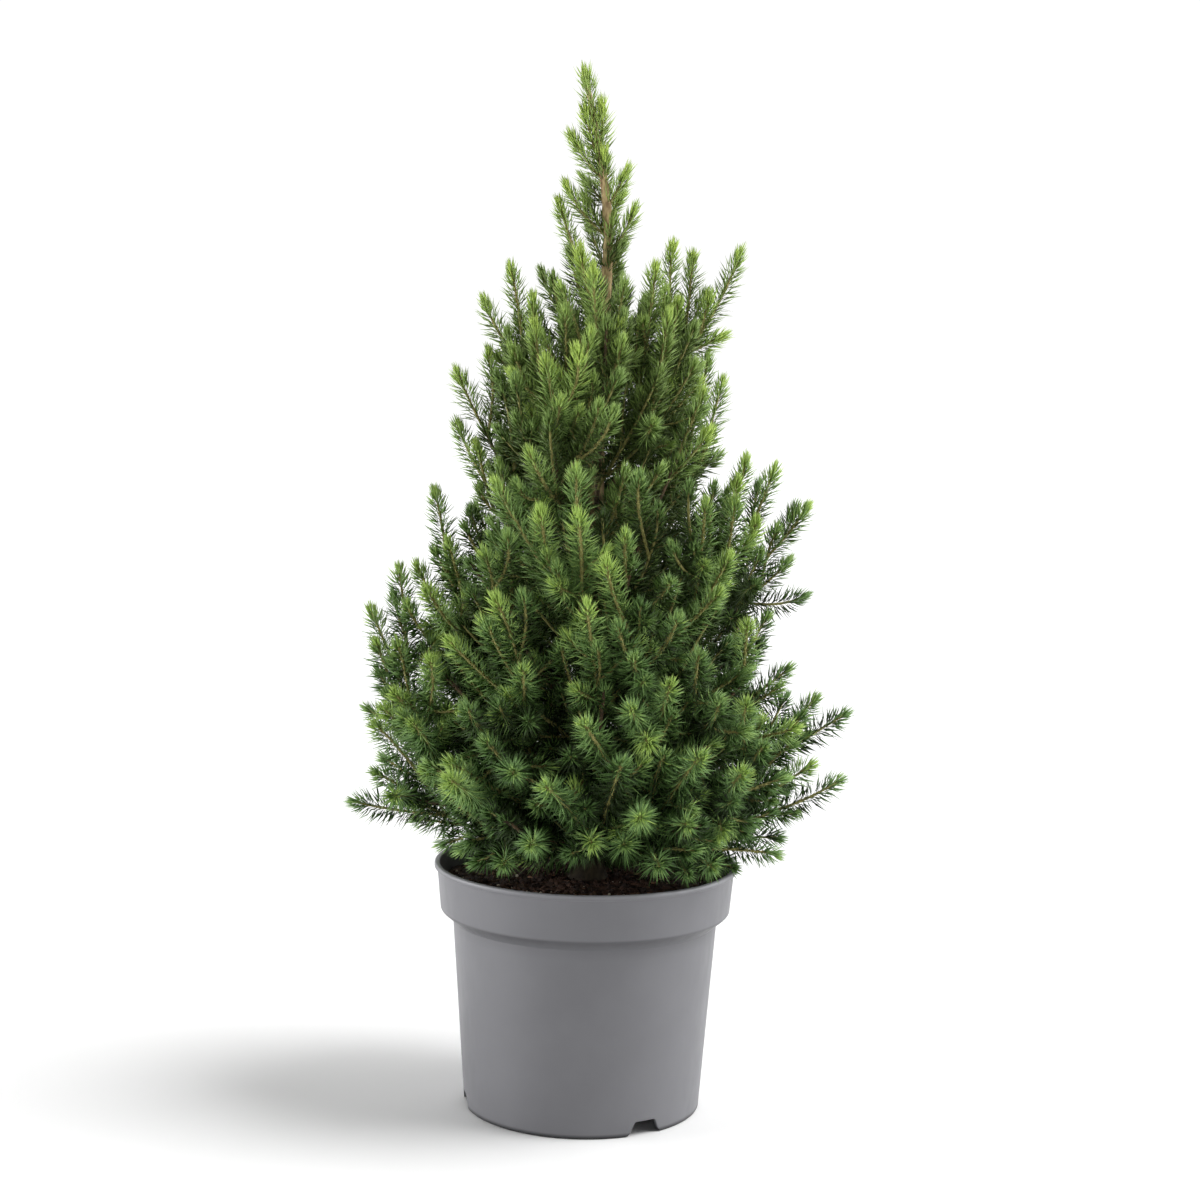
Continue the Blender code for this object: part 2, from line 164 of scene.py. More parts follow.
# Each layer of the crown, from its surface inwards: its share of the crown's reach, the room that a
# tip needs, how many places are tried, its seed, and its shoots' vigours and lengths.
# The inner layers take lower vigours, so darker tones: partly their older shoots, partly painted shade
# inside the crown.
CROWN_LAYERS = (
    (1.00, 0.0265, 12000, 21, (0, 0, 0, 1, 1, 2), (0.045, 0.085)),
    (0.84, 0.0240, 9000, 500, (-1, 0, 0, 1, 1), (0.035, 0.060)),
    (0.62, 0.0300, 6000, 900, (-1, 0, 0), (0.030, 0.045)),
    (0.40, 0.0260, 4000, 1400, (-1, -1, 0), (0.020, 0.035)),
)
SIDE_SHOOT_SEED = 77
BARE_SHARE = 0.12
RIPE_SHARE = 0.7
SETTLING_ROUNDS = 12
# How far the needles reach past a stem's end: the stem stops short of its place by this much.
LEAD_NEEDLE_REACH = 0.0050
NEEDLE_REACH = 0.0065
SHORTEST_STEM = 0.012
LEADER_FOOT = 0.535
LEADER_REACH = 0.045
LEADER_NEEDLES_FOOT = 0.572
LOWEST_TIP = 0.158
LOWEST_FRONT_TIP = 0.172
GOLDEN_TURN = 2.39996
# Any direction that no stem takes, to find a way square to a stem.
ASLANT = (0.31, 0.17, 0.93)
# A stem thickens evenly from its tip, as far down as this length.
STEM_TAPER = 0.0058
TAPER_LENGTH = 0.16

# ---------------------------------------------------------------- needles, pegs and bark
NEEDLES_PER_METRE = 3600.0
NEEDLE_LENGTH = 0.0113
LOOSE_NEEDLE_GAIN = 0.0024
NEEDLE_HALF_WIDTH = 0.00041
BUD_LENGTH = 0.011
# How widely needles spread at each height, and the widest angle that they then open to, in radians.
LOOSE_HEIGHTS = (0.17, 0.24, 0.36, 0.50, 0.62)
LOOSENESS = (1.0, 0.85, 0.45, 0.22, 0.0)
LOOSE_STEPS = (0.0, 0.25, 0.5, 1.0)
WIDEST_SPREAD = (0.80, 0.98, 1.16, 1.23)
# How many tones paler or darker than its shoot a needle is, by its length from the tip.
PALE_LENGTHS = (0.003, 0.010, 0.020, 0.060)
PALENESS = (1.60, 0.45, -0.40, -1.35)
# A needle is a spindle with a belly. A dark one, deep in the crown, is flat-backed and has no belly.
NEEDLE_FACES = np.array(((0, 2, 1), (0, 3, 2), (0, 1, 3), (4, 1, 2), (4, 2, 3), (4, 3, 1)))
DARK_NEEDLE_CORNERS = (0, 2, 3, 4)
DARK_NEEDLE_FACES = np.array(((0, 2, 1), (0, 3, 2), (0, 1, 3), (3, 1, 2)))
TWIG_SIDES = 5
PEGGED_LENGTH = 0.062
PEG_SPACING = 0.00075
PEG_FACES = np.array(((0, 2, 1), (0, 1, 3), (1, 2, 3), (2, 0, 3)))
# Lengths from the tip at which the bark turns from green to tan and from tan to brown: on an old
# shoot, and on a young one.
RIPE_AT = {False: (0.002, 0.016), True: (0.016, 0.056)}

# The leading shoots, placed one by one where the camera stands: how young each is (0 to 3), where its
# tip and a lower point of its stem are in the camera's frame, how near the front of the crown it is
# (1 at the front, below 0 behind the trunk), and its length in millimetres if it points forwards.
LeadingShoot = namedtuple(
    "LeadingShoot", "youth tip_across tip_down stem_across stem_down nearness length", defaults=(0,)
)
LEADING_SHOOTS = (
    (3, 585, 104, 592, 150, -0.1), (3, 601, 99, 604, 140, 0.25), (2, 569, 131, 585, 160, 0.2),
    (2, 564, 180, 577, 208, 0.2), (2, 557, 198, 568, 230, -0.1), (0, 579, 175, 588, 184, -0.6),
    (2, 629, 166, 619, 190, 0.1), (1, 625, 191, 617, 206, -0.3), (2, 636, 205, 628, 228, 0.2),
    (0, 627, 240, 615, 252, 0.1), (0, 622, 262, 612, 285, -0.5), (0, 585, 222, 599, 248, -0.4),
    (1, 582, 192, 596, 218, -0.3), (1, 616, 212, 608, 240, 0), (2, 482, 294, 501, 346, -0.15),
    (2, 509, 262, 528, 336, 0.3), (0, 539, 266, 562, 326, -0.75), (2, 532, 293, 537, 330, 0.35),
    (3, 579, 244, 586, 290, 0.45), (3, 593, 262, 594, 333, 0.8), (0, 621, 269, 612, 320, -0.6),
    (0, 626, 306, 616, 346, -0.7), (3, 674, 241, 664, 300, 0.2), (2, 656, 262, 650, 320, 0.5),
    (2, 693, 251, 687, 326, -0.1), (2, 742, 247, 720, 308, 0), (2, 712, 290, 700, 330, 0.5),
    (2, 728, 334, 699, 347, 0.15), (2, 706, 386, 690, 425, 0.75), (2, 724, 376, 718, 397, -0.2),
    (3, 574, 342, 583, 373, 0.9), (2, 544, 352, 558, 414, 0.85), (1, 616, 404, 603, 450, 0.95),
    (1, 654, 421, 645, 436, 0.8, 38), (2, 526, 445, 544, 486, 0.85), (2, 576, 464, 576, 493, 1),
    (3, 492, 478, 521, 529, 0.85), (1, 514, 478, 522, 500, 0.8), (3, 539, 505, 544, 531, 0.95),
    (2, 545, 547, 554, 586, 0.85), (3, 576, 509, 590, 584, 1), (2, 625, 528, 624, 581, 0.9),
    (3, 606, 554, 610, 600, 0.97), (0, 657, 502, 659, 530, 0.7), (2, 706, 496, 701, 565, 0.85),
    (2, 735, 496, 728, 578, 0.6), (3, 712, 426, 683, 471, 0.55), (2, 747, 452, 742, 485, 0),
    (3, 738, 474, 733, 505, 0.3), (2, 778, 462, 760, 504, -0.05), (1, 761, 477, 755, 500, -0.3),
    (2, 811, 501, 782, 546, -0.1), (1, 797, 502, 790, 525, -0.4), (3, 757, 515, 752, 545, 0.35),
    (0, 669, 540, 678, 565, 0.75), (1, 670, 581, 666, 598, 0.9, 40), (1, 679, 612, 670, 651, 0.95),
    (3, 748, 620, 743, 660, 0.7), (0, 810, 594, 779, 607, -0.1), (0, 758, 584, 735, 590, 0.5, 45),
    (1, 616, 620, 622, 645, 0.95), (1, 596, 642, 604, 672, 0.9), (1, 633, 655, 640, 690, 0.93, 48),
    (1, 793, 666, 760, 690, 0), (1, 782, 684, 756, 704, 0.25), (2, 819, 695, 791, 723, 0.1),
    (1, 850, 711, 817, 731, -0.05), (2, 816, 762, 760, 799, 0.25), (1, 844, 777, 813, 797, -0.05),
    (1, 782, 855, 745, 849, 0.45), (3, 586, 599, 594, 663, 1), (2, 672, 680, 658, 723, 0.9),
    (2, 631, 707, 636, 728, 1, 58), (2, 582, 721, 617, 770, 0.97), (2, 703, 754, 672, 785, 0.9),
    (2, 640, 819, 637, 812, 0.93, 62), (1, 644, 680, 641, 690, 0.9, 50), (2, 747, 700, 738, 735, 0.75),
    (1, 765, 745, 735, 775, 0.55), (1, 720, 700, 712, 735, 0.85), (2, 433, 486, 447, 536, -0.1),
    (2, 447, 538, 465, 595, 0.35), (2, 415, 561, 432, 600, 0.15), (2, 398, 564, 406, 612, -0.2),
    (2, 369, 605, 394, 663, 0), (2, 374, 638, 392, 680, 0.35), (2, 397, 640, 412, 690, 0.5),
    (3, 424, 584, 447, 624, 0.6), (3, 492, 593, 536, 672, 0.97), (2, 481, 547, 501, 590, 0.85),
    (2, 455, 418, 468, 452, -0.05), (2, 455, 366, 470, 402, -0.1), (2, 475, 440, 486, 480, 0.3),
    (0, 468, 505, 480, 540, 0.1), (3, 445, 636, 479, 672, 0.85), (3, 429, 654, 440, 695, 0.8),
    (1, 362, 706, 380, 716, -0.1), (3, 380, 705, 430, 751, 0.55), (2, 372, 770, 416, 795, 0.3),
    (1, 380, 755, 405, 772, -0.3), (1, 348, 800, 397, 812, 0.1), (2, 392, 795, 405, 797, 0.55, 45),
    (3, 447, 778, 503, 814, 0.92), (1, 514, 772, 512, 776, 0.95, 55), (0, 529, 722, 530, 718, 0.85, 50),
    (0, 570, 756, 573, 760, 0.8, 45), (2, 543, 784, 573, 808, 1, 60), (2, 530, 846, 540, 838, 0.93, 50),
    (1, 503, 866, 509, 852, 0.8, 45), (0, 469, 865, 500, 854, 0.6), (1, 455, 851, 490, 840, 0.35),
    (2, 408, 803, 440, 808, 0.1), (1, 410, 818, 445, 822, -0.2), (1, 436, 846, 466, 838, 0),
    (0, 566, 856, 595, 842, 0.85, 45), (0, 464, 843, 482, 838, 0.5), (1, 487, 620, 500, 660, 0.9),
    (1, 520, 590, 534, 630, 0.93), (0, 470, 585, 486, 630, 0.7), (2, 410, 720, 440, 752, 0.75),
    (1, 466, 705, 486, 750, 0.92), (0, 498, 700, 508, 735, 0.85, 45), (1, 700, 650, 692, 690, 0.85),
    (1, 690, 825, 668, 822, 0.85, 55), (0, 735, 800, 708, 812, 0.7), (1, 660, 868, 652, 852, 0.85, 50),
    (1, 714, 869, 694, 852, 0.7, 50), (0, 737, 869, 706, 858, 0.3), (0, 688, 876, 678, 860, 0.72, 40),
    (1, 724, 843, 700, 840, 0.55), (0, 757, 838, 720, 840, 0.1), (0, 760, 822, 735, 822, 0.5),
    (1, 640, 470, 636, 500, 0.9), (0, 690, 480, 686, 515, 0.8), (1, 556, 560, 562, 600, 0.9),
    (0, 640, 600, 640, 632, 0.85), (1, 505, 530, 515, 565, 0.9), (1, 600, 400, 596, 420, 0.85),
    (0, 500, 380, 512, 420, 0.4), (2, 487, 345, 497, 385, 0.2), (0, 640, 352, 636, 392, 0.2),
    (1, 668, 330, 664, 372, 0.6), (1, 560, 300, 566, 340, 0.3), (1, 622, 335, 618, 372, 0.75),
    (0, 700, 440, 694, 470, 0), (1, 793, 556, 762, 590, -0.1), (0, 785, 838, 748, 836, 0),
    (1, 376, 668, 396, 700, 0.1), (1, 384, 690, 404, 715, 0.3), (1, 770, 612, 752, 640, 0.1),
    (0, 764, 636, 748, 660, -0.1), (1, 762, 548, 748, 580, 0.2), (1, 800, 812, 765, 818, 0.1),
    (1, 432, 545, 448, 575, 0.2), (3, 392, 690, 440, 742, 0.6), (2, 372, 722, 420, 762, 0.5),
    (2, 400, 712, 450, 765, 0.7), (1, 462, 520, 478, 556, 0.25), (1, 780, 522, 764, 556, 0.1),
    (1, 714, 424, 706, 452, 0.2), (1, 806, 712, 776, 742, 0.2), (2, 405, 600, 425, 645, 0.3),
    (1, 388, 655, 412, 700, 0.2), (1, 392, 590, 400, 625, -0.1), (1, 478, 482, 488, 515, 0.2),
    (1, 715, 482, 706, 520, 0.4), (1, 728, 488, 720, 524, 0.2), (1, 812, 732, 782, 752, 0.05),
    (1, 796, 742, 766, 758, 0.2),
)


# ---------------------------------------------------------------- finishes
def linear(hex_colour):
    """Turn an sRGB hex colour into the linear values that a shader reads."""
    values = []
    for place in (1, 3, 5):
        share = int(hex_colour[place:place + 2], 16) / 255.0
        values.append(share / 12.92 if share <= 0.04045 else ((share + 0.055) / 1.055) ** 2.4)
    return (*values, 1.0)


def mixed(first, second, share):
    """Return the hex colour that lies a share of the way from one hex colour to another."""
    pairs = [(int(first[k:k + 2], 16), int(second[k:k + 2], 16)) for k in (1, 3, 5)]
    return "#" + "".join("%02X" % round(a + (b - a) * share) for a, b in pairs)


def add_node(tree, kind, settings, links):
    """Add a node, set its properties or unlinked sockets, and link its other sockets."""
    node = tree.nodes.new(kind)
    for name, value in settings.items():
        if hasattr(node, name) and name not in node.inputs:
            setattr(node, name, value)
        else:
            node.inputs[name].default_value = value
    for name, source in links.items():
        tree.links.new(source, node.inputs[name])
    return node


def new_finish(name, colour, roughness, **sockets):
    """Make a finish with one shader, and return it with its node tree and shader."""
    finish = bpy.data.materials.new(name)
    finish.use_nodes = True
    tree = finish.node_tree
    shader = tree.nodes["Principled BSDF"]
    shader.inputs["Base Color"].default_value = linear(colour)
    shader.inputs["Roughness"].default_value = roughness
    for socket, value in sockets.items():
        shader.inputs[socket.replace("_", " ")].default_value = value
    return finish, tree, shader


def noise_at(tree, millimetres, detail, stretch=(1.0, 1.0, 1.0)):
    """Lay a noise of a real size over the piece, from its own coordinates in metres."""
    place = add_node(tree, "ShaderNodeTexCoord", {}, {})
    scale = tuple(1000.0 / (millimetres * share) for share in stretch)
    sized = add_node(tree, "ShaderNodeMapping", {"Scale": scale}, {"Vector": place.outputs["Object"]})
    settings = {"Scale": 1.0, "Detail": detail, "Roughness": 0.55}
    grain = add_node(tree, "ShaderNodeTexNoise", settings, {"Vector": sized.outputs["Vector"]})
    return grain.outputs["Fac"]


def mottled(tree, cover, dark_at, dark, light_at, light):
    """Blend two colours over a noise, each pure beyond its own place on the noise's range."""
    tint = add_node(tree, "ShaderNodeValToRGB", {}, {"Fac": cover})
    for element, place, colour in zip(tint.color_ramp.elements, (dark_at, light_at), (dark, light)):
        element.position = place
        element.color = linear(colour)
    return tint.outputs["Color"]


def shaded_by_height(tree, colour, stops):
    """Darken a colour at some heights of the piece: each stop is a height and a share of the light."""
    low, high = stops[0][0], stops[-1][0]
    place = add_node(tree, "ShaderNodeTexCoord", {}, {})
    parts = add_node(tree, "ShaderNodeSeparateXYZ", {}, {"Vector": place.outputs["Object"]})
    settings = {"From Min": low, "From Max": high}
    height = add_node(tree, "ShaderNodeMapRange", settings, {"Value": parts.outputs["Z"]})
    shade = add_node(tree, "ShaderNodeValToRGB", {}, {"Fac": height.outputs["Result"]})
    for element, (_, share) in zip(shade.color_ramp.elements, (stops[0], stops[-1])):
        element.color = (share, share, share, 1.0)
    for level, share in stops[1:-1]:
        shade.color_ramp.elements.new((level - low) / (high - low)).color = (share, share, share, 1.0)
    dimmed = add_node(tree, "ShaderNodeMix", {"data_type": "RGBA", "blend_type": "MULTIPLY"}, {})
    dimmed.inputs[0].default_value = 1.0
    tree.links.new(colour, dimmed.inputs[6])
    tree.links.new(shade.outputs["Color"], dimmed.inputs[7])
    return dimmed.outputs[2]


def moulded_polypropylene():
    """Make injection-moulded polypropylene: a satin grey with a faint orange peel, and painted shade and a
    painted highlight by height.
    """
    finish, tree, shader = new_finish("moulded_polypropylene", POT_GREY, 0.42, IOR=1.38)
    clouded = mottled(tree, noise_at(tree, 38.0, 3.0), 0.30, POT_GREY_DARK, 0.72, POT_GREY)
    # Painted shade darkens the edge that stands on the ground, as a painted contact shadow, and the slope
    # under the collar; the lip is painted pale as a painted highlight.
    tree.links.new(shaded_by_height(tree, clouded, POT_PAINTED_SHADE_AND_HIGHLIGHT), shader.inputs["Base Color"])
    # The sheen varies over a few millimetres where the melt cooled against the mould.
    cooled = noise_at(tree, 7.0, 2.0, (1.0, 1.0, 3.0))
    settings = {"From Min": 0.3, "From Max": 0.7, "To Min": 0.38, "To Max": 0.47}
    sheen = add_node(tree, "ShaderNodeMapRange", settings, {"Value": cooled})
    tree.links.new(sheen.outputs["Result"], shader.inputs["Roughness"])
    grain = noise_at(tree, 0.9, 2.0)
    peel = add_node(tree, "ShaderNodeBump", {"Strength": 0.12, "Distance": 0.00006}, {"Height": grain})
    tree.links.new(peel.outputs["Normal"], shader.inputs["Normal"])
    return finish


def damp_compost():
    """Make damp peat and composted bark: near black in its pits, dark brown on its crumbs."""
    finish, tree, shader = new_finish("damp_compost", "#2A1B13", 0.88, IOR=1.4)
    earth = mottled(tree, noise_at(tree, 4.0, 6.0), 0.35, "#1C120C", 0.70, "#5C3F2D")
    tree.links.new(earth, shader.inputs["Base Color"])
    grain = noise_at(tree, 1.6, 5.0)
    crumbs = add_node(tree, "ShaderNodeBump", {"Strength": 0.8, "Distance": 0.0006}, {"Height": grain})
    tree.links.new(crumbs.outputs["Normal"], shader.inputs["Normal"])
    return finish


def spruce_bark(name, dark, light, plate, stops=()):
    """Make thin spruce bark: flakes of two browns, stretched along the stem, with dull edges."""
    finish, tree, shader = new_finish(name, light, 0.80, IOR=1.45)
    flakes = noise_at(tree, plate, 5.0, (1.0, 1.0, 2.6))
    colour = mottled(tree, flakes, 0.36, dark, 0.64, light)
    # Where stops are given, painted shade darkens the bark by height.
    if stops:
        colour = shaded_by_height(tree, colour, stops)
    tree.links.new(colour, shader.inputs["Base Color"])
    relief = add_node(tree, "ShaderNodeBump", {"Strength": 0.7, "Distance": 0.0003}, {"Height": flakes})
    tree.links.new(relief.outputs["Normal"], shader.inputs["Normal"])
    return finish


def plain_finish(name, colour, roughness, **sockets):
    """Make a finish of one base colour, for small things and for the floor."""
    return new_finish(name, colour, roughness, **sockets)[0]


# The lip's painted highlight keeps all of this grey, and the body keeps BODY_SHARE of it.
POT_GREY = "#7F7F83"
POT_GREY_DARK = "#7A7A7E"
BODY_SHARE = 0.72
# Heights on the pot and on the trunk, and the share of its colour that each keeps there. On the pot
# this is painted shade at its foot and under its collar, and a painted highlight on its lip.
POT_PAINTED_SHADE_AND_HIGHLIGHT = (
    (0.0, 0.08), (0.0014, 0.17), (0.0030, BODY_SHARE), (STEP_HEIGHT - 0.006, BODY_SHARE),
    (STEP_HEIGHT + 0.0007, 0.62), (COLLAR_FOOT_HEIGHT - 0.0025, 0.41), (COLLAR_FOOT_HEIGHT - 0.0012, 0.44),
    (COLLAR_FOOT_HEIGHT, BODY_SHARE), (POT_HEIGHT - 0.0022, BODY_SHARE), (POT_HEIGHT - 0.0010, 1.0),
    (POT_HEIGHT, 1.0),
)
# Painted shade on the trunk, darkest at its foot under the crown, together with the darker tone of its
# older bark.
TRUNK_PAINTED_SHADE = ((0.150, 0.12), (0.175, 0.20), (0.24, 0.70), (0.32, 1.0))

# Spruce needles: waxy green, each tone one base colour, and the youngest nearly yellow. The high
# shoots, in full light, are yellower and are also painted paler as painted light; the low ones are a
# cooler green, painted much darker as painted shade.
NEEDLE_TONES = ("old", "deep", "mid", "fresh", "young")
SUNLIT_GREENS = ("#5A6C33", "#768D46", "#89A251", "#96B056", "#A8C057")
SHADED_GREENS = ("#24370F", "#42602A", "#648548", "#83A258", "#A0BE5E")
COOLNESS_AND_SHADE = {"leader": 0.0, "top": 0.16, "upper": 0.38, "middle": 0.7, "lower": 0.9, "skirt": 1.0}


# ---------------------------------------------------------------- making pieces
def put_in_scene(name, data):
    """Make an object of a mesh, a lamp or a camera, and link it to the scene."""
    made = bpy.data.objects.new(name, data)
    bpy.context.scene.collection.objects.link(made)
    return made


def link_piece(name, mesh, finishes, nodes=()):
    """Put a finished mesh into the scene as a piece of the plant or its pot."""
    piece = put_in_scene(name, mesh)
    mesh.materials.clear()
    for finish in finishes if isinstance(finishes, list) else [finishes]:
        mesh.materials.append(finish)
    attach(piece, "root")
    if nodes:
        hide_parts(*nodes)


def mesh_from(bm, name, smooth=True):
    """Turn a bmesh into a mesh with its faces outwards."""
    bmesh.ops.recalc_face_normals(bm, faces=bm.faces)
    mesh = bpy.data.meshes.new(name)
    for face in bm.faces:
        face.smooth = smooth
    bm.to_mesh(mesh)
    bm.free()
    return mesh


def joined_mesh(name, places, face_groups, smooth=True, finish_of=None):
    """Make one mesh of many small things, from their corners and faces as arrays."""
    mesh = bpy.data.meshes.new(name)
    places = np.asarray(places, np.float32).reshape(-1, 3)
    mesh.vertices.add(len(places))
    mesh.vertices.foreach_set("co", places.ravel())
    corners = np.concatenate([np.asarray(g, np.int32).ravel() for g in face_groups])
    sizes = np.concatenate([np.full(len(g), np.shape(g)[1], np.int32) for g in face_groups])
    mesh.loops.add(len(corners))
    mesh.loops.foreach_set("vertex_index", corners)
    mesh.polygons.add(len(sizes))
    mesh.polygons.foreach_set("loop_start", np.concatenate([[0], np.cumsum(sizes)[:-1]]).astype(np.int32))
    mesh.polygons.foreach_set("use_smooth", np.full(len(sizes), smooth))
    if finish_of is not None:
        mesh.polygons.foreach_set("material_index", finish_of.astype(np.int32))
    mesh.update(calc_edges=True)
    mesh.validate()
    return mesh


def fillet(corner, before, after, radius, steps):
    """Return the points of an arc that rounds one corner of a profile."""
    corner, before, after = Vector(corner), Vector(before), Vector(after)
    back = (before - corner).normalized()
    ahead = (after - corner).normalized()
    half = 0.5 * back.angle(ahead)
    reach = min(radius / math.tan(half), 0.49 * (before - corner).length, 0.49 * (after - corner).length)
    start = corner + back * reach
    end = corner + ahead * reach
    centre = corner + (back + ahead).normalized() * (reach / math.cos(half))
    sweep = (start - centre).angle_signed(end - centre)
    points = []
    for step in range(steps + 1):
        turn = Matrix.Rotation(-sweep * step / steps, 2)
        points.append(tuple(centre + turn @ (start - centre)))
    return points


def rounded_profile(corners):
    """Round each corner of a (radius, height, fillet) profile that asks for it."""
    points = []
    for index, (radius, height, rounding) in enumerate(corners):
        if rounding and 0 < index < len(corners) - 1:
            before, after = corners[index - 1][:2], corners[index + 1][:2]
            points += fillet((radius, height), before, after, rounding, LIP_FILLET_STEPS)
        else:
            points.append((radius, height))
    return points


def turned(points, steps):
    """Turn a profile round the Z axis into a closed shape."""
    bm = bmesh.new()
    corners = [bm.verts.new((radius, 0.0, height)) for radius, height in points]
    edges = [bm.edges.new(pair) for pair in zip(corners, corners[1:])]
    circle = {"cent": (0, 0, 0), "axis": (0, 0, 1), "angle": math.tau, "steps": steps, "use_merge": True}
    bmesh.ops.spin(bm, geom=corners + edges, **circle)
    bmesh.ops.remove_doubles(bm, verts=bm.verts, dist=MERGE_DISTANCE)
    bmesh.ops.dissolve_degenerate(bm, edges=bm.edges, dist=MERGE_DISTANCE)
    return bm


# ---------------------------------------------------------------- the pot
def inner_wall_radius(height):
    """Return the radius of the pot's inner wall at a height below the collar."""
    return FOOT_RADIUS + (BODY_TOP_RADIUS - FOOT_RADIUS) * height / STEP_HEIGHT - WALL


def wall_points(low, high, count):
    """Return points spaced evenly up a straight wall, so that its faces stay nearly square."""
    (r0, z0), (r1, z1) = low, high
    return [(r0 + (r1 - r0) * step / count, z0 + (z1 - z0) * step / count, 0.0) for step in range(1, count)]


def notch_cutter(turn):
    """Make the wedge that cuts a drainage notch: a flat top, sloping sides and a flared foot."""
    outline = [*NOTCH_OUTLINE, *((-half, height) for half, height in reversed(NOTCH_OUTLINE))]
    bm = bmesh.new()
    start = FOOT_RADIUS - NOTCH_DEPTH
    face = bm.faces.new([bm.verts.new((start, half, height)) for half, height in outline])
    pulled = bmesh.ops.extrude_face_region(bm, geom=[face])["geom"]
    verts = [item for item in pulled if isinstance(item, bmesh.types.BMVert)]
    bmesh.ops.translate(bm, verts=verts, vec=(2.0 * NOTCH_DEPTH, 0.0, 0.0))
    bmesh.ops.recalc_face_normals(bm, faces=bm.faces)
    bmesh.ops.rotate(bm, verts=bm.verts, cent=(0, 0, 0), matrix=Matrix.Rotation(math.radians(turn), 3, "Z"))
    return mesh_from(bm, "notch_cutter", smooth=False)


def cut_notches(body):
    """Cut the drainage notches out of the turned pot, and return the cut mesh."""
    whole = put_in_scene("pot_blank", body)
    cutters = [put_in_scene("notch_cutter", notch_cutter(turn)) for turn in NOTCH_TURNS]
    for cutter in cutters:
        cut = whole.modifiers.new("notch", "BOOLEAN")
        cut.operation = "DIFFERENCE"
        cut.solver = "EXACT"
        cut.object = cutter
    evaluated = whole.evaluated_get(bpy.context.evaluated_depsgraph_get())
    mesh = bpy.data.meshes.new_from_object(evaluated)
    for spare in (whole, *cutters):
        bpy.data.objects.remove(spare, do_unlink=True)
    return mesh


def build_pot():
    """Build the pot: a rolled lip, a collar, a chamfer under it and a body that tapers to its foot."""
    lip_foot = POT_HEIGHT - LIP_HEIGHT
    lip_inside = COLLAR_TOP_RADIUS - WALL
    ring_inside = FOOT_RADIUS - FOOT_RING_WIDTH
    channel_top = CHANNEL_HEIGHT + FLOOR_THICKNESS
    corners = [
        (0.0, FLOOR_THICKNESS, 0.0),
        (FLOOR_RADIUS - WALL, FLOOR_THICKNESS, 0.001),
        (FLOOR_RADIUS - WALL + CHANNEL_SLOPE, channel_top, 0.001),
        (inner_wall_radius(channel_top), channel_top, 0.001),
        (inner_wall_radius(STEP_HEIGHT), STEP_HEIGHT, 0.001),
        (COLLAR_FOOT_RADIUS - WALL, COLLAR_FOOT_HEIGHT + WALL, 0.001),
        (lip_inside, lip_foot, 0.0),
        (lip_inside, POT_HEIGHT, 0.0011),
        (RIM_RADIUS, POT_HEIGHT, 0.0013),
        (RIM_RADIUS, lip_foot, 0.0011),
        (COLLAR_TOP_RADIUS, lip_foot, 0.0004),
        *wall_points((COLLAR_TOP_RADIUS, lip_foot), (COLLAR_FOOT_RADIUS, COLLAR_FOOT_HEIGHT - 0.0013), 6),
        (COLLAR_FOOT_RADIUS, COLLAR_FOOT_HEIGHT - 0.0013, 0.0022),
        (BODY_TOP_RADIUS, STEP_HEIGHT + 0.0009, 0.0005),
        *wall_points((BODY_TOP_RADIUS, STEP_HEIGHT + 0.0009), (FOOT_RADIUS, 0.0), 24),
        (FOOT_RADIUS, 0.0, 0.0019),
        (ring_inside, 0.0, 0.0005),
        (ring_inside, CHANNEL_HEIGHT, 0.0008),
        (FLOOR_RADIUS + CHANNEL_SLOPE, CHANNEL_HEIGHT, 0.001),
        (FLOOR_RADIUS, 0.0, 0.001),
        (0.0, 0.0, 0.0),
    ]
    body = mesh_from(turned(rounded_profile(corners), POT_STEPS), "pot_body")
    mesh = cut_notches(body)
    mesh.set_sharp_from_angle(angle=math.radians(38.0))
    link_piece("pot_body", mesh, moulded_polypropylene(), ("pot",))


# ---------------------------------------------------------------- the compost
def compost_height(x, y):
    """Return the height of the compost's surface, with its mound, hollows and crumbs."""
    out = math.hypot(x, y)
    edge = min(1.0, out / COMPOST_EDGE_RADIUS)
    height = COMPOST_MOUND_HEIGHT + (COMPOST_EDGE_HEIGHT - COMPOST_MOUND_HEIGHT) * edge ** 1.6
    for depth, pitch, shift in COMPOST_RELIEF:
        height += depth * noise.noise(Vector((x, y, 0.0)) * pitch + Vector(shift))
    return height


def build_compost():
    """Build the compost's body with an uneven top."""
    gap = COMPOST_GAP
    channel_top = CHANNEL_HEIGHT + FLOOR_THICKNESS + gap
    share = (COMPOST_EDGE_HEIGHT - COLLAR_FOOT_HEIGHT) / (POT_HEIGHT - COLLAR_FOOT_HEIGHT)
    edge_radius = COLLAR_FOOT_RADIUS + (COLLAR_TOP_RADIUS - COLLAR_FOOT_RADIUS) * share - WALL - gap
    top = [(edge_radius * step / COMPOST_RINGS, COMPOST_EDGE_HEIGHT) for step in range(COMPOST_RINGS + 1)]
    body = [
        (COLLAR_FOOT_RADIUS - WALL - gap, COLLAR_FOOT_HEIGHT + WALL + gap),
        (inner_wall_radius(STEP_HEIGHT) - gap, STEP_HEIGHT + gap),
        (inner_wall_radius(channel_top) - gap, channel_top),
        (FLOOR_RADIUS - WALL + CHANNEL_SLOPE - gap, channel_top),
        (FLOOR_RADIUS - WALL - gap, FLOOR_THICKNESS + gap),
        (0.0, FLOOR_THICKNESS + gap),
    ]
    bm = turned(top + body, COMPOST_STEPS)
    for vert in bm.verts:
        if vert.co.z > COMPOST_EDGE_HEIGHT - 0.0001:
            vert.co.z = compost_height(vert.co.x, vert.co.y)
    mesh = mesh_from(bm, "compost_body")
    link_piece("compost_body", mesh, damp_compost(), ("soil",))


